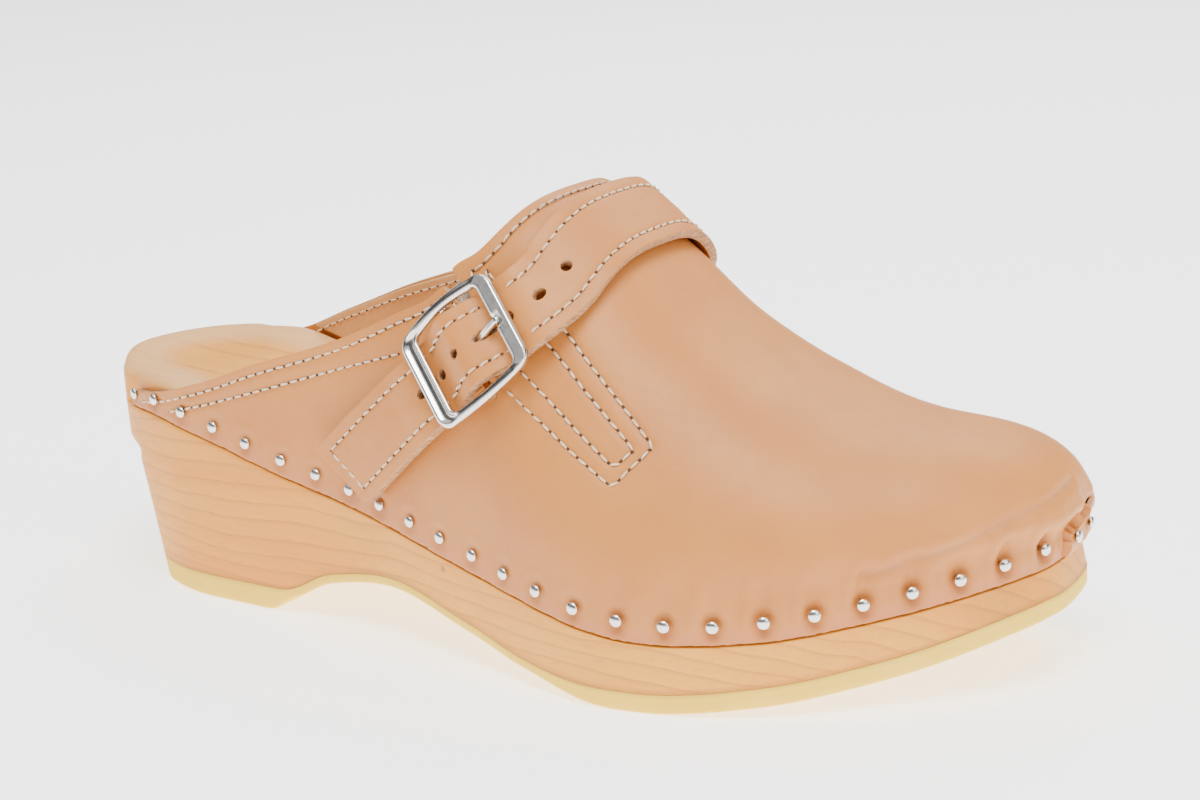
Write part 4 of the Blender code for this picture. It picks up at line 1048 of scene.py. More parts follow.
def nail_mesh(steel):
    """A domed head with a thin flat skirt, on a short shank."""
    head = NAIL_HEAD / 2
    profile = [(0.0007, -0.0020), (0.0007, 0.0), (head - 0.0001, 0.0), (head, 0.00012)]
    for i in range(1, 9):
        turn = math.pi / 2 * i / 8
        profile.append((head * 0.99 * math.cos(turn), 0.00012 + 0.00085 * math.sin(turn)))
    sides = 28
    turns = np.arange(sides) * 2 * math.pi / sides
    points = [(0.0, 0.0, -0.0020)]
    for radius, height in profile[:-1]:
        points += [(radius * math.cos(turn), radius * math.sin(turn), height) for turn in turns]
    points.append((0.0, 0.0, profile[-1][1]))
    faces = [(0, 1 + (i + 1) % sides, 1 + i) for i in range(sides)]
    last = len(points) - 1
    for row in range(len(profile) - 2):
        base = 1 + row * sides
        for i in range(sides):
            j = (i + 1) % sides
            faces.append((base + i, base + j, base + sides + j, base + sides + i))
    base = last - sides
    faces += [(base + i, base + (i + 1) % sides, last) for i in range(sides)]
    mesh = bpy.data.meshes.new("domed_nail")
    mesh.from_pydata(points, [], faces)
    mesh.materials.append(steel)
    mesh.shade_smooth()
    return mesh


def make_nails(steel, places):
    mesh = nail_mesh(steel)
    for name, angle in places:
        start, outward = edge(angle), edge_normal(angle)
        turned = angle % (2 * math.pi)
        guarded = abs(turned - GUARD_CENTRE) < GUARD_SPREAD + math.radians(1)
        proud = CLEARANCE / 2 + (GUARD + 2 * CLEARANCE if guarded else 0.0)
        place = start + outward * proud
        height = nail_height(start.x) + random.uniform(-0.0002, 0.0002)
        axis = Vector((outward.x, outward.y, random.uniform(-0.05, 0.10)))
        turn = axis.to_track_quat("Z", "Y").to_matrix().to_4x4()
        obj = bpy.data.objects.new("domed_" + name, mesh)
        bpy.context.scene.collection.objects.link(obj)
        obj.matrix_world = Matrix.Translation(Vector((place.x, place.y, height)) + ORIGIN) @ turn
        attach(obj, "clog")
        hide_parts(name)


# ---------------------------------------------------------------- leather pieces

TOE_CREASE = (
    (0.2708, 0.0186, 0.0442),
    (0.2710, 0.0050, 0.0433),
    (0.2660, -0.0057, 0.0413),
    (0.2584, -0.0155, 0.0374),
    (0.2504, -0.0229, 0.0351),
    (0.2422, -0.0296, 0.0326),
)


def resampled(points, pitch):
    """Points along a polyline at this pitch."""
    points = np.asarray(points, float)
    arcs = np.concatenate([[0], np.cumsum(np.linalg.norm(np.diff(points, axis=0), axis=1))])
    wanted = np.arange(0, arcs[-1], pitch)
    return np.stack([np.interp(wanted, arcs, points[:, i]) for i in range(points.shape[1])], axis=1)


def from_the_side(points, side=-1):
    """Side-view (x, z) points dropped onto the upper's lateral (-1) or medial (1) face."""
    laid = []
    for x, z in points:
        hit = SURFACE.ray_cast(Vector((x, side * 0.2, z)), Vector((0, -side, 0)))[0]
        if hit:
            laid.append(tuple(hit))
    return laid


def topline_row(side, below):
    places = []
    for x in np.arange(0.030, 0.1335, 0.002):
        places.append((x, float(opening_z(x, side * 0.036)) - below))
    return from_the_side(places, side)


def vamp_row(behind):
    """A row across the instep, this far behind the vamp's edge."""
    places = []
    for row in range(GRID.shape[1]):
        line, gap = GRID[:, row], MARGIN[:, row] - behind
        found = np.where((gap[:-1] < 0) & (gap[1:] >= 0) & (line[1:, 0] > 0.139) & (line[1:, 2] > 0.088))[0]
        if len(found):
            i = found[-1]
            share = gap[i] / (gap[i] - gap[i + 1])
            places.append(tuple(line[i] + (line[i + 1] - line[i]) * share))
    return places


def stitched_rows():
    """Every stitched line on the upper, as points on its outside."""
    quarter = topline_row(-1, 0.0026) + from_the_side(resampled(QUARTER_TURN, 0.002))
    rows = [quarter, topline_row(1, 0.0026)]
    rows += [from_the_side(resampled(row, 0.002)) for row in (COUNTER_ROW, PATCH_OUTER, PATCH_INNER)]
    rows.append(from_the_side(resampled(VAMP_TURN, 0.002))[::-1] + vamp_row(0.0032))
    return rows


def hem_height(points):
    return points[..., 2] - ledge_z(np.clip(points[..., 0], 0, SOLE_LENGTH))


def bell(distance, width):
    """1 at no distance, falling off smoothly over this width."""
    return np.exp(-((distance / width) ** 2))


def shaped_grid(rows, nails):
    """The upper's outside with its stitched grooves, nail dimples, puckers and toe crease."""
    flat = GRID.reshape(-1, 3)
    groove = nearest_distances(flat, point_tree([p for row in rows for p in resampled(row, 0.0006)]))
    nail = nearest_distances(flat, point_tree(nails))
    crease = nearest_distances(flat, point_tree([tuple(p) for p in resampled(TOE_CREASE, 0.0005)]))
    height = hem_height(flat)
    push = -0.00028 * bell(groove, 0.0008)
    toe = smoothstep(0.150, 0.235, flat[:, 0])
    push += -(0.0005 + 0.0006 * toe) * bell(nail, 0.0026) + 0.00022 * bell(nail - 0.0042, 0.0015)
    push += -0.00045 * bell(crease, 0.0011) + 0.00020 * bell(crease - 0.0026, 0.0014)
    band_share = bell(height - 0.0105, 0.0050)
    flat_nails = point_tree([(x, y, 0.0) for x, y, _ in nails])
    beside = nearest_distances(flat * (1, 1, 0), flat_nails)
    reach = smoothstep(0.001, 0.005, height) * (1 - smoothstep(0.009, 0.0165, height))
    fold = bell(beside, 0.0017) - 0.6 * bell(beside - 0.0042, 0.0020)
    push += -0.0010 * fold * reach * toe
    ripple = np.array([noise.noise(Vector((p[0] * 190, p[1] * 190, p[2] * 32))) for p in flat])
    soft = np.array([noise.noise(Vector(p) * 34) for p in flat])
    push += 0.0013 * ripple * band_share * (0.15 + 0.85 * toe)
    push += 0.00045 * soft * smoothstep(0.0, 0.012, height)
    shaped = flat + NORMALS.reshape(-1, 3) * push[:, None]
    return shaped.reshape(GRID.shape)


def make_upper(leather, raw, rows, nails):
    shaped = shaped_grid(rows, nails)
    shaped[-1] = (shaped[-1] + shaped[-1, ::-1]) / 2
    moved, margin = snapped(shaped, MARGIN)
    base, _ = snapped(GRID, MARGIN)
    normals = NORMALS.copy()
    normals[-1] = (normals[-1] + normals[-1, ::-1]) / 2
    inside = base - normals * LEATHER
    obj = thick_sheet("leather_upper", moved, inside, kept_faces(margin), [leather, raw])
    tree = point_tree(nails)
    folds = point_tree([tuple(p) for p in resampled(TOE_CREASE, 0.0005)])

    def hem_share(points):
        return 1 - smoothstep(0.0022, 0.0046, hem_height(points))

    # Painted shade for the leather's colour: dark round the nail heads and along the toe crease.
    def crease_shade_share(points):
        dark = 0.6 * np.exp(-((nearest_distances(points, tree) / 0.0020) ** 4))
        return np.maximum(dark, 0.8 * np.exp(-((nearest_distances(points, folds) / 0.0008) ** 2)))

    paint(obj, "hem", hem_share)
    paint(obj, "crease", crease_shade_share)
    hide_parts("upper")
    return obj


def gore_window(points):
    """Distance outside the window that the lining leaves for the gore, in side view."""
    start, along, across, length = gore_frame()
    x, y, z = np.moveaxis(points, -1, 0)
    run = (x - start.x) * along.x + (z - start.y) * along.y
    side = np.abs((x - start.x) * across.x + (z - start.y) * across.y)
    outside = np.maximum(side - GORE_WIDTH / 2 - 0.001, run - length - 0.001)
    return np.where(y < -0.01, outside, 1.0)


def gore_frame():
    along = (GORE_END - SLIT_TOP).normalized()
    across = Vector((-along.y, along.x))
    start = SLIT_TOP + along * 0.002
    return start, along, across, (GORE_END - start).length


def make_lining(lining):
    last = int(COLUMNS * (120 - 35) / 145)
    grid, normals = GRID[:last], NORMALS[:last]
    depth = LEATHER + CLEARANCE + 0.0002
    edge_x = np.array([edge(a).x for a in np.linspace(LEATHER_START, math.pi, COLUMNS)[:last]])
    above = grid[..., 2] - (ledge_z(edge_x)[:, None] + RIM_ABOVE_LEDGE + 0.0012)
    margin = np.minimum(np.minimum(MARGIN[:last] - 0.0004, above), gore_window(grid))
    base, kept = snapped(grid, margin)
    outside, inside = base - normals * depth, base - normals * (depth + LINING)
    obj = thick_sheet("leather_lining", outside, inside, kept_faces(kept), [lining], soft=0.0002)
    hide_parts("quarter_lining")
    return obj


def make_gore(elastic):
    start, along, across, length = gore_frame()
    outside, inside = [], []
    for step in range(121):
        for side in np.linspace(-1, 1, 46):
            place = start + along * (length * step / 120) + across * (side * GORE_WIDTH / 2)
            hit = SURFACE.ray_cast(Vector((place.x, -0.2, place.y)), Vector((0, 1, 0)))[0]
            hit, normal = away(hit)
            rib = 0.00010 * math.sin(side * 46 * math.pi / 2)
            outside.append(hit - normal * (LEATHER + CLEARANCE - rib))
            inside.append(hit - normal * (LEATHER + CLEARANCE + 0.0010))
    outside, inside = np.array(outside), np.array(inside)
    obj = thick_sheet("woven_gore", outside, inside, grid_faces(121, 46), [elastic], soft=0.0002)
    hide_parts("elastic_gore")


def make_guard(leather, raw):
    """The folded strip nailed over the toe's tip, with rough cut edges."""
    outside, inside = [], []
    columns, rows = 60, 26
    for i in range(columns):
        share = i / (columns - 1)
        angle = GUARD_CENTRE + GUARD_SPREAD * (2 * share - 1)
        column = arch(angle, np.linspace(0, 0.5, 60))
        rough = 0.0007 * noise.noise(Vector((i * 0.35, 5.0, 0.0)))
        low = float(ledge_z(edge(angle).x)) + 0.0007
        for j in range(rows):
            z = low + (GUARD_HEIGHT + rough) * j / (rows - 1)
            place = Vector([float(np.interp(z, column[:, 2], column[:, k])) for k in (0, 1)] + [z])
            hit, normal = away(place)
            crinkle = 0.0004 * noise.noise(Vector((i * 0.13, j * 0.22, 1.0)))
            thin = 0.55 * max(0.0, 1 - min(i, columns - 1 - i, j, rows - 1 - j) / 4)
            outside.append(hit + normal * (CLEARANCE + GUARD * (1 - thin) + crinkle))
            inside.append(hit + normal * (CLEARANCE * 0.5))
    outside, inside = np.array(outside), np.array(inside)
    obj = thick_sheet("toe_strip", outside, inside, grid_faces(columns, rows), [leather, raw], soft=0.0003)
    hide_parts("toe_guard")


# ---------------------------------------------------------------- strap


class Path:
    """A polyline that can be read by its arc length."""

    def __init__(self, points):
        self.points = points
        self.arcs = [0.0]
        for a, b in zip(points, points[1:]):
            self.arcs.append(self.arcs[-1] + (b - a).length)

    def at(self, arc):
        i = int(np.clip(np.searchsorted(self.arcs, arc) - 1, 0, len(self.points) - 2))
        share = (arc - self.arcs[i]) / (self.arcs[i + 1] - self.arcs[i])
        return self.points[i].lerp(self.points[i + 1], share)

    def direction(self, arc):
        return (self.at(arc + 0.004) - self.at(arc - 0.004)).normalized()

    def nearest(self, point):
        best = min(range(len(self.points)), key=lambda i: (self.points[i] - point).length)
        return self.arcs[best]


def strap_line():
    x_at_height = curve_through([(z, x) for x, z in STRAP_LINE])
    foot = STRAP_LINE[0][1]
    points = []
    for i in range(181):
        turn = math.pi * i / 180
        height = foot
        for _ in range(8):
            origin = Vector((float(x_at_height(height)), 0.0, foot))
            hit = SURFACE.ray_cast(origin, Vector((0.0, -math.cos(turn), math.sin(turn))))[0]
            height = hit.z
        points.append(hit)
    return points


PATH = Path(strap_line())
BUCKLE_ARC = PATH.nearest(Vector(from_the_side([BUCKLE_CENTRE])[0]))
HINGE_ARC = BUCKLE_ARC - BUCKLE_LENGTH / 2 - 0.0012
STRAP_SPLIT = BUCKLE_ARC + 0.0128


def buckle_frame():
    """The buckle's frame: X along the strap to its fixed end, Y across it, Z away from the upper."""
    tilt = next(j for j in frame["joints"] if j["name"] == "buckle_tilt")
    _, normal = away(PATH.at(BUCKLE_ARC))
    along = PATH.at(BUCKLE_ARC + BUCKLE_LENGTH / 2) - PATH.at(BUCKLE_ARC - BUCKLE_LENGTH / 2)
    along = (along - normal * along.dot(normal)).normalized()
    across = Vector(tilt["axis"]).normalized()
    across = (across - along * across.dot(along)).normalized()
    normal = along.cross(across)
    bar = Vector(tilt["pos_m"]) - ORIGIN
    matrix = Matrix((along, across, normal)).transposed().to_4x4()
    return Matrix.Translation(bar - normal * BAR_HEIGHT) @ matrix


FRAME = buckle_frame()


def strap_place(arc, side, level):
    """A point of the strap: arc along it, side across it, level through its thickness (-1 to 1)."""
    centre = PATH.at(arc)
    _, normal = away(centre)
    across = normal.cross(PATH.direction(arc)).normalized()
    hit, out = away(centre + across * side)
    from_foot = smoothstep(0.0, 0.02, arc - PATH.arcs[0])
    crest = smoothstep(0.10, 0.02, abs(out.y) * 0.12)
    lift = STRAP_LIFT + 0.0012 * float(from_foot) * float(crest)
    if arc < BUCKLE_ARC:
        lift += CHAPE + CLEARANCE
    laid = hit + out * (lift + STRAP / 2 * (1 + level))
    along = arc - BUCKLE_ARC
    local = Vector((along, side, float(strap_rise(along)) + STRAP / 2 * level))
    near = 1 - float(smoothstep(0.5 * BUCKLE_LENGTH - 0.001, 0.5 * BUCKLE_LENGTH + 0.011, abs(along)))
    return laid.lerp(FRAME @ local, near)


def strap_margin(arc, side):
    """How far a point of the strap is from its slanted end, its holes and the prong's slot."""
    end = PATH.arcs[0] + TAIL_SKEW - TAIL_SKEW * (0.5 + side / STRAP_WIDTH)
    margin = arc - end
    for i in (3, 2, 1, 0, -1, -2, -3):
        hole_arc = BUCKLE_ARC + 0.0062 + i * STRAP_HOLE_PITCH
        margin = min(margin, math.hypot(arc - hole_arc, side) - STRAP_HOLE / 2)
    run = min(max(arc - BUCKLE_ARC, 0.0046), 0.0088)
    return min(margin, math.hypot(arc - BUCKLE_ARC - run, side) - 0.0009)


def strap_part(name, first, last, materials, body):
    """The stretch of the strap between two arc lengths, with its holes."""
    stations = np.linspace(first, last, int((last - first) / (0.0004)))
    sides = np.linspace(-STRAP_WIDTH / 2, STRAP_WIDTH / 2, 41)
    top, bottom, margin = [], [], []
    for arc in stations:
        for side in sides:
            high, low = strap_place(arc, side, 1), strap_place(arc, side, -1)
            rough = 0.00012 * noise.noise(Vector((arc * 260, side * 260, 0.0)))
            row = abs(abs(side) - (STRAP_WIDTH / 2 - 0.0034))
            dip = 0.00022 * math.exp(-((row / 0.0007) ** 2))
            out = (high - low).normalized()
            top.append(high + out * (rough - dip))
            bottom.append(low)
            margin.append(strap_margin(arc, side))
    shape = (len(stations), len(sides))
    margin = np.array(margin).reshape(shape)
    top, kept = snapped(np.array(top).reshape(*shape, 3), margin)
    bottom, _ = snapped(np.array(bottom).reshape(*shape, 3), margin)
    obj = thick_sheet(name, top, bottom, kept_faces(kept), materials, soft=0.0006, body=body)
    return obj


def make_strap(leather, raw):
    """The strap in two stretches that meet, out of sight, under the buckle's front bar."""
    first, last = PATH.arcs[0] - 0.0004, PATH.arcs[-1] - STRAP_END_INSET
    fixed = strap_part("strap_over_instep", STRAP_SPLIT + 0.00003, last, [leather, raw], "clog")
    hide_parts("instep_strap")
    free = strap_part("strap_through_buckle", first, STRAP_SPLIT - 0.00003, [leather, raw], None)
    bend_at_hinge(free)
    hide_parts("strap_tail")


def bend_at_hinge(obj):
    start = strap_place(HINGE_ARC + 0.0010, 0.0, 0) + ORIGIN
    end = strap_place(HINGE_ARC - 0.0050, 0.0, 0) + ORIGIN
    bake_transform(obj)


def under_bars(arc):
    """1 where the buckle's two bars press the strap's stitches down, and 0 elsewhere."""
    along = abs(arc - BUCKLE_ARC)
    return float(smoothstep(0.0080, 0.0095, along) * (1 - smoothstep(0.0155, 0.0170, along)))


def strap_row(row):
    tops = [strap_place(arc, side, 1 - 0.5 * under_bars(arc)) for arc, side in row]
    outs = [(top - strap_place(arc, side, -1)).normalized() for top, (arc, side) in zip(tops, row)]
    return np.array(tops), np.array(outs)


def strap_rows():
    """The strap's stitched lines on its fixed stretch and on its free one."""
    first, last = PATH.arcs[0] + 0.0036, PATH.arcs[-1] - STRAP_END_INSET - 0.004
    inset = STRAP_WIDTH / 2 - 0.0034
    fixed, free = [], []
    for side in (-inset, inset):
        end = first + TAIL_SKEW * (0.5 - side / STRAP_WIDTH)
        fixed.append(strap_row([(arc, side) for arc in np.arange(STRAP_SPLIT, last, 0.0008)]))
        free.append(strap_row([(arc, side) for arc in np.arange(end, STRAP_SPLIT, 0.0008)]))
    across = np.linspace(-inset, inset, 20)
    free.append(strap_row([(first + TAIL_SKEW * (0.5 - side / STRAP_WIDTH), side) for side in across]))
    return fixed, free


# ---------------------------------------------------------------- stitches


def stitch_template():
    """One stitch along X: a thread that is thickest in the middle and dips in at both ends."""
    points, rings, sides = [], 9, 8
    for i in range(rings):
        u = -1 + 2 * i / (rings - 1)
        radius = THREAD * max(0.35, (1 - abs(u) ** 3.0))
        for k in range(sides):
            turn = 2 * math.pi * k / sides
            lift = 0.00022 - 0.00040 * abs(u) ** 4
            points.append((u * STITCH / 2, radius * math.cos(turn), lift + radius * math.sin(turn)))
    faces = grid_faces(rings, sides, True)
    faces += [tuple(range(sides))[::-1], tuple(range((rings - 1) * sides, rings * sides))]
    return np.array(points), faces


def hole_shade_template():
    """The mouth of each needle puncture as a shallow lens, coloured nearly black as painted shade."""
    sides = 10
    turns = np.arange(sides) * 2 * math.pi / sides
    ring = [(0.00040 * math.cos(turn), 0.00034 * math.sin(turn), 0.0) for turn in turns]
    points = [(0, 0, 0.00010)] + ring + [(0, 0, -0.0003)]
    faces = [(0, 1 + i, 1 + (i + 1) % sides) for i in range(sides)]
    faces += [(sides + 1, 1 + (i + 1) % sides, 1 + i) for i in range(sides)]
    return np.array(points), faces


def point_at(arcs, line, arc):
    """The line's value at an arc length."""
    return np.array([np.interp(arc, arcs, line[:, i]) for i in range(3)])


def make_stitches(name, rows, materials, body="clog"):
    """Stitches, and nearly black lenses of painted shade in the needle holes, along rows of (points,
    outward normals).
    """
    thread, thread_faces = stitch_template()
    hole_shade, hole_shade_faces = hole_shade_template()
    points, faces, slots = [], [], []
    for line, normals in rows:
        arcs = np.concatenate([[0], np.cumsum(np.linalg.norm(np.diff(line, axis=0), axis=1))])
        for arc in np.arange(STITCH_PITCH / 2, arcs[-1] - STITCH_PITCH / 2, STITCH_PITCH):
            spots = [point_at(arcs, line, arc + step) for step in (-STITCH / 2, 0, STITCH / 2)]
            out = point_at(arcs, normals, arc)
            out /= np.linalg.norm(out)
            along = spots[2] - spots[0]
            along -= out * along.dot(out)
            along /= np.linalg.norm(along)
            across = np.cross(out, along)
            across_tilt = along + across * random.uniform(-0.10, 0.10)
            along = across_tilt / np.linalg.norm(across_tilt)
            across = np.cross(out, along)
            for centre, template, template_faces, slot in (
                (spots[1] - out * 0.00010, thread, thread_faces, 0),
                (spots[0] - along * 0.0002 - out * 0.00012, hole_shade, hole_shade_faces, 1),
                (spots[2] + along * 0.0002 - out * 0.00012, hole_shade, hole_shade_faces, 1),
            ):
                base = sum(map(len, points))
                points.append(centre + template @ np.array([along, across, out]))
                faces += [tuple(i + base for i in face) for face in template_faces]
                slots += [slot] * len(template_faces)
    obj = add_mesh(name, np.concatenate(points), faces, materials, body, slots, weld=1e-9)
    return obj


def with_normals(row, turned=1, offset=0.0):
    points, normals = [], []
    for point in resampled(row, 0.0008):
        hit, normal = away(Vector(point))
        points.append(tuple(hit + normal * offset))
        normals.append(tuple(normal * turned))
    return np.array(points), np.array(normals)


# ---------------------------------------------------------------- buckle


def loop_points(low, high, half, radius, bow):
    """Points round a rectangle with round corners, whose long sides bow outward."""
    corners = ((high, half, 0.0), (low, half, 0.5), (low, -half, 1.0), (high, -half, 1.5))
    arcs = []
    for x, y, start in corners:
        centre = (x - math.copysign(radius, x), y - math.copysign(radius, y))
        turns = [math.pi * (start + 0.5 * step / 10) for step in range(11)]
        arcs.append([(centre[0] + radius * math.cos(t), centre[1] + radius * math.sin(t)) for t in turns])
    points = []
    for i, arc in enumerate(arcs):
        points += arc
        start, end = arc[-1], arcs[(i + 1) % 4][0]
        for step in range(1, 30):
            share = step / 30
            out = math.copysign(bow * (1 - (1 - 2 * share) ** 2), start[1]) if i in (0, 2) else 0.0
            x, y = start[0] + (end[0] - start[0]) * share, start[1] + (end[1] - start[1]) * share
            points.append((x, y + out))
    return points


# The tops of the back and front bars, from the outer edge (0) to the inner edge (1).
STEPPED_BAR = (
    (0.0, 0.25),
    (0.07, 0.62),
    (0.18, 0.95),
    (0.27, 1.0),
    (0.36, 0.80),
    (0.5, 0.60),
    (0.66, 0.60),
    (0.77, 0.78),
    (0.85, 1.02),
    (0.93, 1.0),
    (1.0, 0.55),
)
FLAT_BAR = (
    (0.0, 0.30),
    (0.05, 0.78),
    (0.12, 0.97),
    (0.2, 1.0),
    (0.68, 1.0),
    (0.84, 0.93),
    (0.94, 0.66),
    (1.0, 0.30),
)
stepped_top = curve_through(STEPPED_BAR)
flat_top = curve_through(FLAT_BAR)


def make_buckle(nickel, satin):
    """One ring with a stepped back bar, a flat front bar and round side bars, and its centre bar."""
    long_half, inner_half = BUCKLE_LENGTH / 2, STRAP_WIDTH / 2 + 0.001
    back_bar = BUCKLE_LENGTH - BUCKLE_OPENING - FRONT_BAR
    inner_low, inner_high = back_bar - long_half, long_half - FRONT_BAR
    outer = loop_points(-long_half, long_half, inner_half + SIDE_BAR, 0.0042, 0.0009)
    inner = loop_points(inner_low, inner_high, inner_half, 0.0016, 0.0007)
    across = np.concatenate([np.linspace(0, 1, 25), np.linspace(1, 0, 9)[1:-1]])
    points, satin_faces, columns = [], [], len(across)
    for (outer_x, outer_y), (inner_x, inner_y) in zip(outer, inner):
        middle_x = (outer_x + inner_x) / 2
        back = float(smoothstep(inner_low + 0.0012, inner_low - 0.0018, middle_x))
        front = float(smoothstep(inner_high - 0.0012, inner_high + 0.0016, middle_x))
        lift = 0.0007 * max(0.0, 1 - (middle_x / (0.5 * BUCKLE_OPENING)) ** 2)
        for k, share in enumerate(across):
            x, y = outer_x + (inner_x - outer_x) * share, outer_y + (inner_y - outer_y) * share
            curve = math.sqrt(max(0.0, 1 - (2 * share - 1) ** 2))
            if k < 25:
                side = (1 - back - front) * (0.5 + 0.5 * curve)
                z = back * float(stepped_top(share)) + front * float(flat_top(share)) + max(side, 0.0)
                if front > 0.5 and abs(y) < 0.0016 and inner_high - 0.001 < x < inner_high + 0.0028:
                    z -= 0.50 * (1 - (abs(y) / 0.0016) ** 2)
            else:
                z = 0.22 * (1 - curve) + (1 - back - front) * 0.18 * (1 - curve)
            points.append((x, y, FRAME_BOTTOM + lift + BUCKLE_THICKNESS * z))
            satin_faces.append(1 if front > 0.6 and k < 25 and 0.10 < share < 0.70 else 0)
    faces = grid_faces(len(outer) + 1, columns, True)
    points += points[:columns]
    slots = [1 if all(satin_faces[i % len(satin_faces)] for i in face) else 0 for face in faces]
    bar_half = inner_half + SIDE_BAR * 0.6
    bar = [(0.0, y, BAR_HEIGHT) for y in np.linspace(-bar_half, bar_half, 12)]
    add_tube(points, faces, bar, CENTRE_BAR / 2)
    for side in (-1, 1):
        y = side * (inner_half + SIDE_BAR * 0.55)
        heights = np.linspace(BAR_HEIGHT - 0.0004, FRAME_BOTTOM + 0.0012, 6)
        add_tube(points, faces, [(0.0, y, z) for z in heights], 0.0010)
    slots += [0] * (len(faces) - len(slots))
    placed = [tuple(FRAME @ Vector(p)) for p in points]
    obj = add_mesh("polished_buckle", placed, faces, [nickel, satin], "buckle", slots)
    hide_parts("buckle_frame")


def add_tube(points, faces, line, radius, sides=16, flat=0.0):
    """A round-ended tube along a line; flat presses a groove along its top."""
    line = [Vector(p) for p in line]
    radii = radius if isinstance(radius, (list, tuple)) else [radius] * len(line)
    base = len(points)
    for i, place in enumerate(line):
        along = (line[min(i + 1, len(line) - 1)] - line[max(i - 1, 0)]).normalized()
        across = along.cross(Vector((0, 0, 1)) if abs(along.z) < 0.9 else Vector((1, 0, 0))).normalized()
        up = across.cross(along)
        for k in range(sides):
            turn = 2 * math.pi * k / sides
            pressed = 1 - flat * max(0.0, math.sin(turn)) ** 6
            offset = across * math.cos(turn) + up * math.sin(turn) * pressed
            points.append(tuple(place + offset * radii[i]))
    faces += [tuple(i + base for i in face) for face in grid_faces(len(line), sides, True)]
    faces.append(tuple(base + i for i in reversed(range(sides))))
    faces.append(tuple(base + (len(line) - 1) * sides + i for i in range(sides)))


def make_prong(nickel):
    """A grooved, tapering finger from a ring on the centre bar to the front bar's notch."""
    points, faces = [], []
    tip_x = BUCKLE_LENGTH / 2 - FRONT_BAR + 0.0022
    start = Vector((0.0016, 0.0, BAR_HEIGHT + 0.0003))
    end = Vector((tip_x, 0.0, FRAME_BOTTOM + BUCKLE_THICKNESS + 0.0003))
    line, radii = [], []
    for i in range(30):
        share = i / 29
        place = start.lerp(end, share)
        place.z += 0.0005 * math.sin(math.pi * share)
        line.append(place)
        tip = math.sqrt(max(0.0, 1 - max(0.0, (share - 0.93) / 0.07) ** 2))
        radii.append((0.00108 - 0.00026 * share) * max(tip, 0.15))
    add_tube(points, faces, line, radii, sides=20, flat=0.30)
    turns = np.linspace(0, 2 * math.pi, 25)
    ring = [(0.0017 * math.cos(t), 0.0, BAR_HEIGHT + 0.0017 * math.sin(t)) for t in turns]
    add_tube(points, faces, ring, 0.00035, sides=10)
    placed = [tuple(FRAME @ Vector(p)) for p in points]
    obj = add_mesh("grooved_prong", placed, faces, [nickel], "prong")
    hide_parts("buckle_prong")


# ---------------------------------------------------------------- studio


def make_floor(material):
    bpy.ops.mesh.primitive_plane_add(size=14.0)
    floor = bpy.context.object
    floor.name = "floor"
    floor.data.materials.append(material)


def add_light(name, place, aim, size, power):
    data = bpy.data.lights.new(name, "AREA")
    data.shape = "RECTANGLE"
    data.size, data.size_y = size
    data.energy = power
    light = bpy.data.objects.new(name, data)
    light.location = place
    light.rotation_euler = (Vector(aim) - Vector(place)).to_track_quat("-Z", "Y").to_euler()
    bpy.context.scene.collection.objects.link(light)


def make_studio():
    aim = (0.0, 0.0, 0.05)
    add_light("key", (0.20, -0.35, 1.30), aim, (0.7, 0.7), 23.0)
    add_light("fill", (1.3, -0.2, 0.8), aim, (1.0, 1.0), 9.0)
    add_light("rim", (-0.3, 1.2, 1.1), aim, (1.4, 0.7), 14.0)
    world = bpy.data.worlds.new("studio")
    world.use_nodes = True
    tree = world.node_tree
    place = tree.nodes.new("ShaderNodeTexCoord")
    height = tree.nodes.new("ShaderNodeSeparateXYZ")
    sky = tree.nodes.new("ShaderNodeValToRGB")
    tree.links.new(place.outputs["Generated"], height.inputs[0])
    tree.links.new(height.outputs["Z"], sky.inputs["Fac"])
    tree.links.new(sky.outputs["Color"], tree.nodes["Background"].inputs["Color"])
    for stop, level in ((0.12, 1.0), (0.26, 0.10), (0.50, 0.10), (0.66, 1.0)):
        element = sky.color_ramp.elements.new(stop)
        element.color = (level, level, level, 1.0)
    sky.color_ramp.elements[0].color = (1.0, 1.0, 1.0, 1.0)
    sky.color_ramp.elements[-1].color = (1.0, 1.0, 1.0, 1.0)
    tree.nodes["Background"].inputs["Strength"].default_value = 0.9
    bpy.context.scene.world = world


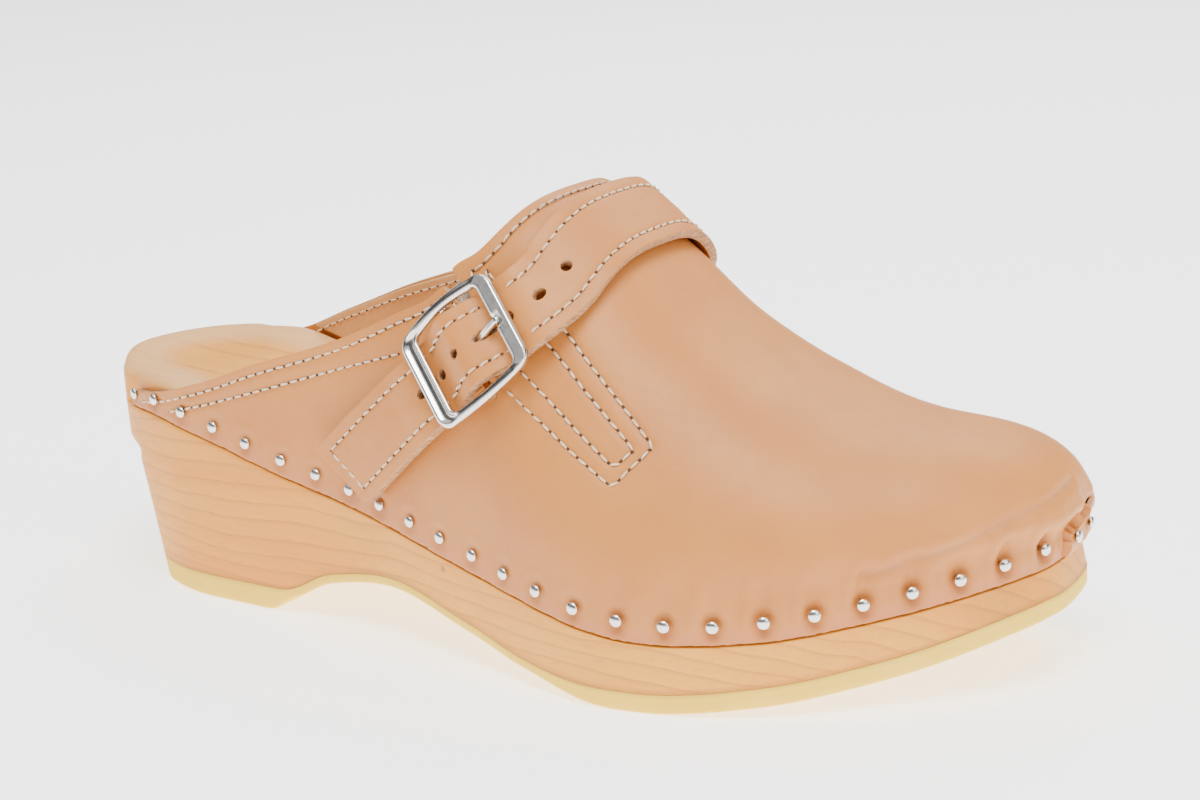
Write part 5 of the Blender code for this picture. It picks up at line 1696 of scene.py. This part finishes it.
def make_camera():
    data = bpy.data.cameras.new("camera")
    data.lens = 71.85
    data.sensor_width = 36.0
    data.clip_start = 0.01
    camera = bpy.data.objects.new("camera", data)
    place, target = Vector((0.3305, -0.4720, 0.2097)), Vector((0.0178, 0.0041, 0.0560))
    turn = (target - place).to_track_quat("-Z", "Y").to_matrix().to_4x4()
    camera.matrix_world = Matrix.Translation(place) @ turn @ Matrix.Rotation(math.radians(-3.0), 4, "Z")
    bpy.context.scene.collection.objects.link(camera)
    bpy.context.scene.camera = camera


def main():
    leather = leather_material("upper_leather", (0.62, 0.235, 0.046), (0.565, 0.20, 0.037))
    strap_tan, strap_deep = (0.61, 0.228, 0.044), (0.555, 0.195, 0.036)
    strap_leather = leather_material("strap_leather", strap_tan, strap_deep, hem_tint_and_crease_shade=False)
    raw, lining, thread, hole_shade = raw_edge_material(), lining_material(), thread_material(), hole_shade_material()
    nickel = metal_material("polished_nickel", (0.80, 0.78, 0.75), 0.10, 0.24)
    satin = metal_material("satin_nickel", (0.62, 0.61, 0.59), 0.34, 0.48)
    steel = metal_material("nail_steel", (0.83, 0.82, 0.80), 0.12, 0.30, 900.0)

    make_sole(wood_material())
    make_outsole(rubber_material())
    places = nail_places()
    heads = [(*edge(angle), nail_height(edge(angle).x)) for _, angle in places]
    rows = stitched_rows()
    make_upper(leather, raw, rows, heads)
    make_lining(lining)
    make_gore(elastic_material())
    make_guard(leather, raw)
    make_nails(steel, places)
    make_strap(strap_leather, raw)
    make_buckle(nickel, satin)
    make_prong(nickel)
    outer = [with_normals(row) for row in rows]
    inner = [with_normals(rows[1], -1, -(LEATHER + CLEARANCE + LINING + 0.0003))]
    make_stitches("upper_stitches", outer + inner, [thread, hole_shade])
    fixed, free = strap_rows()
    make_stitches("instep_stitches", fixed, [thread, hole_shade])
    bend_at_hinge(make_stitches("tail_stitches", free, [thread, hole_shade], body=None))
    chape = frame["nodes"]["buckle_chape"]
    chape.data.materials.clear()
    chape.data.materials.append(strap_leather)

    make_floor(floor_material())
    make_studio()
    make_camera()


main()
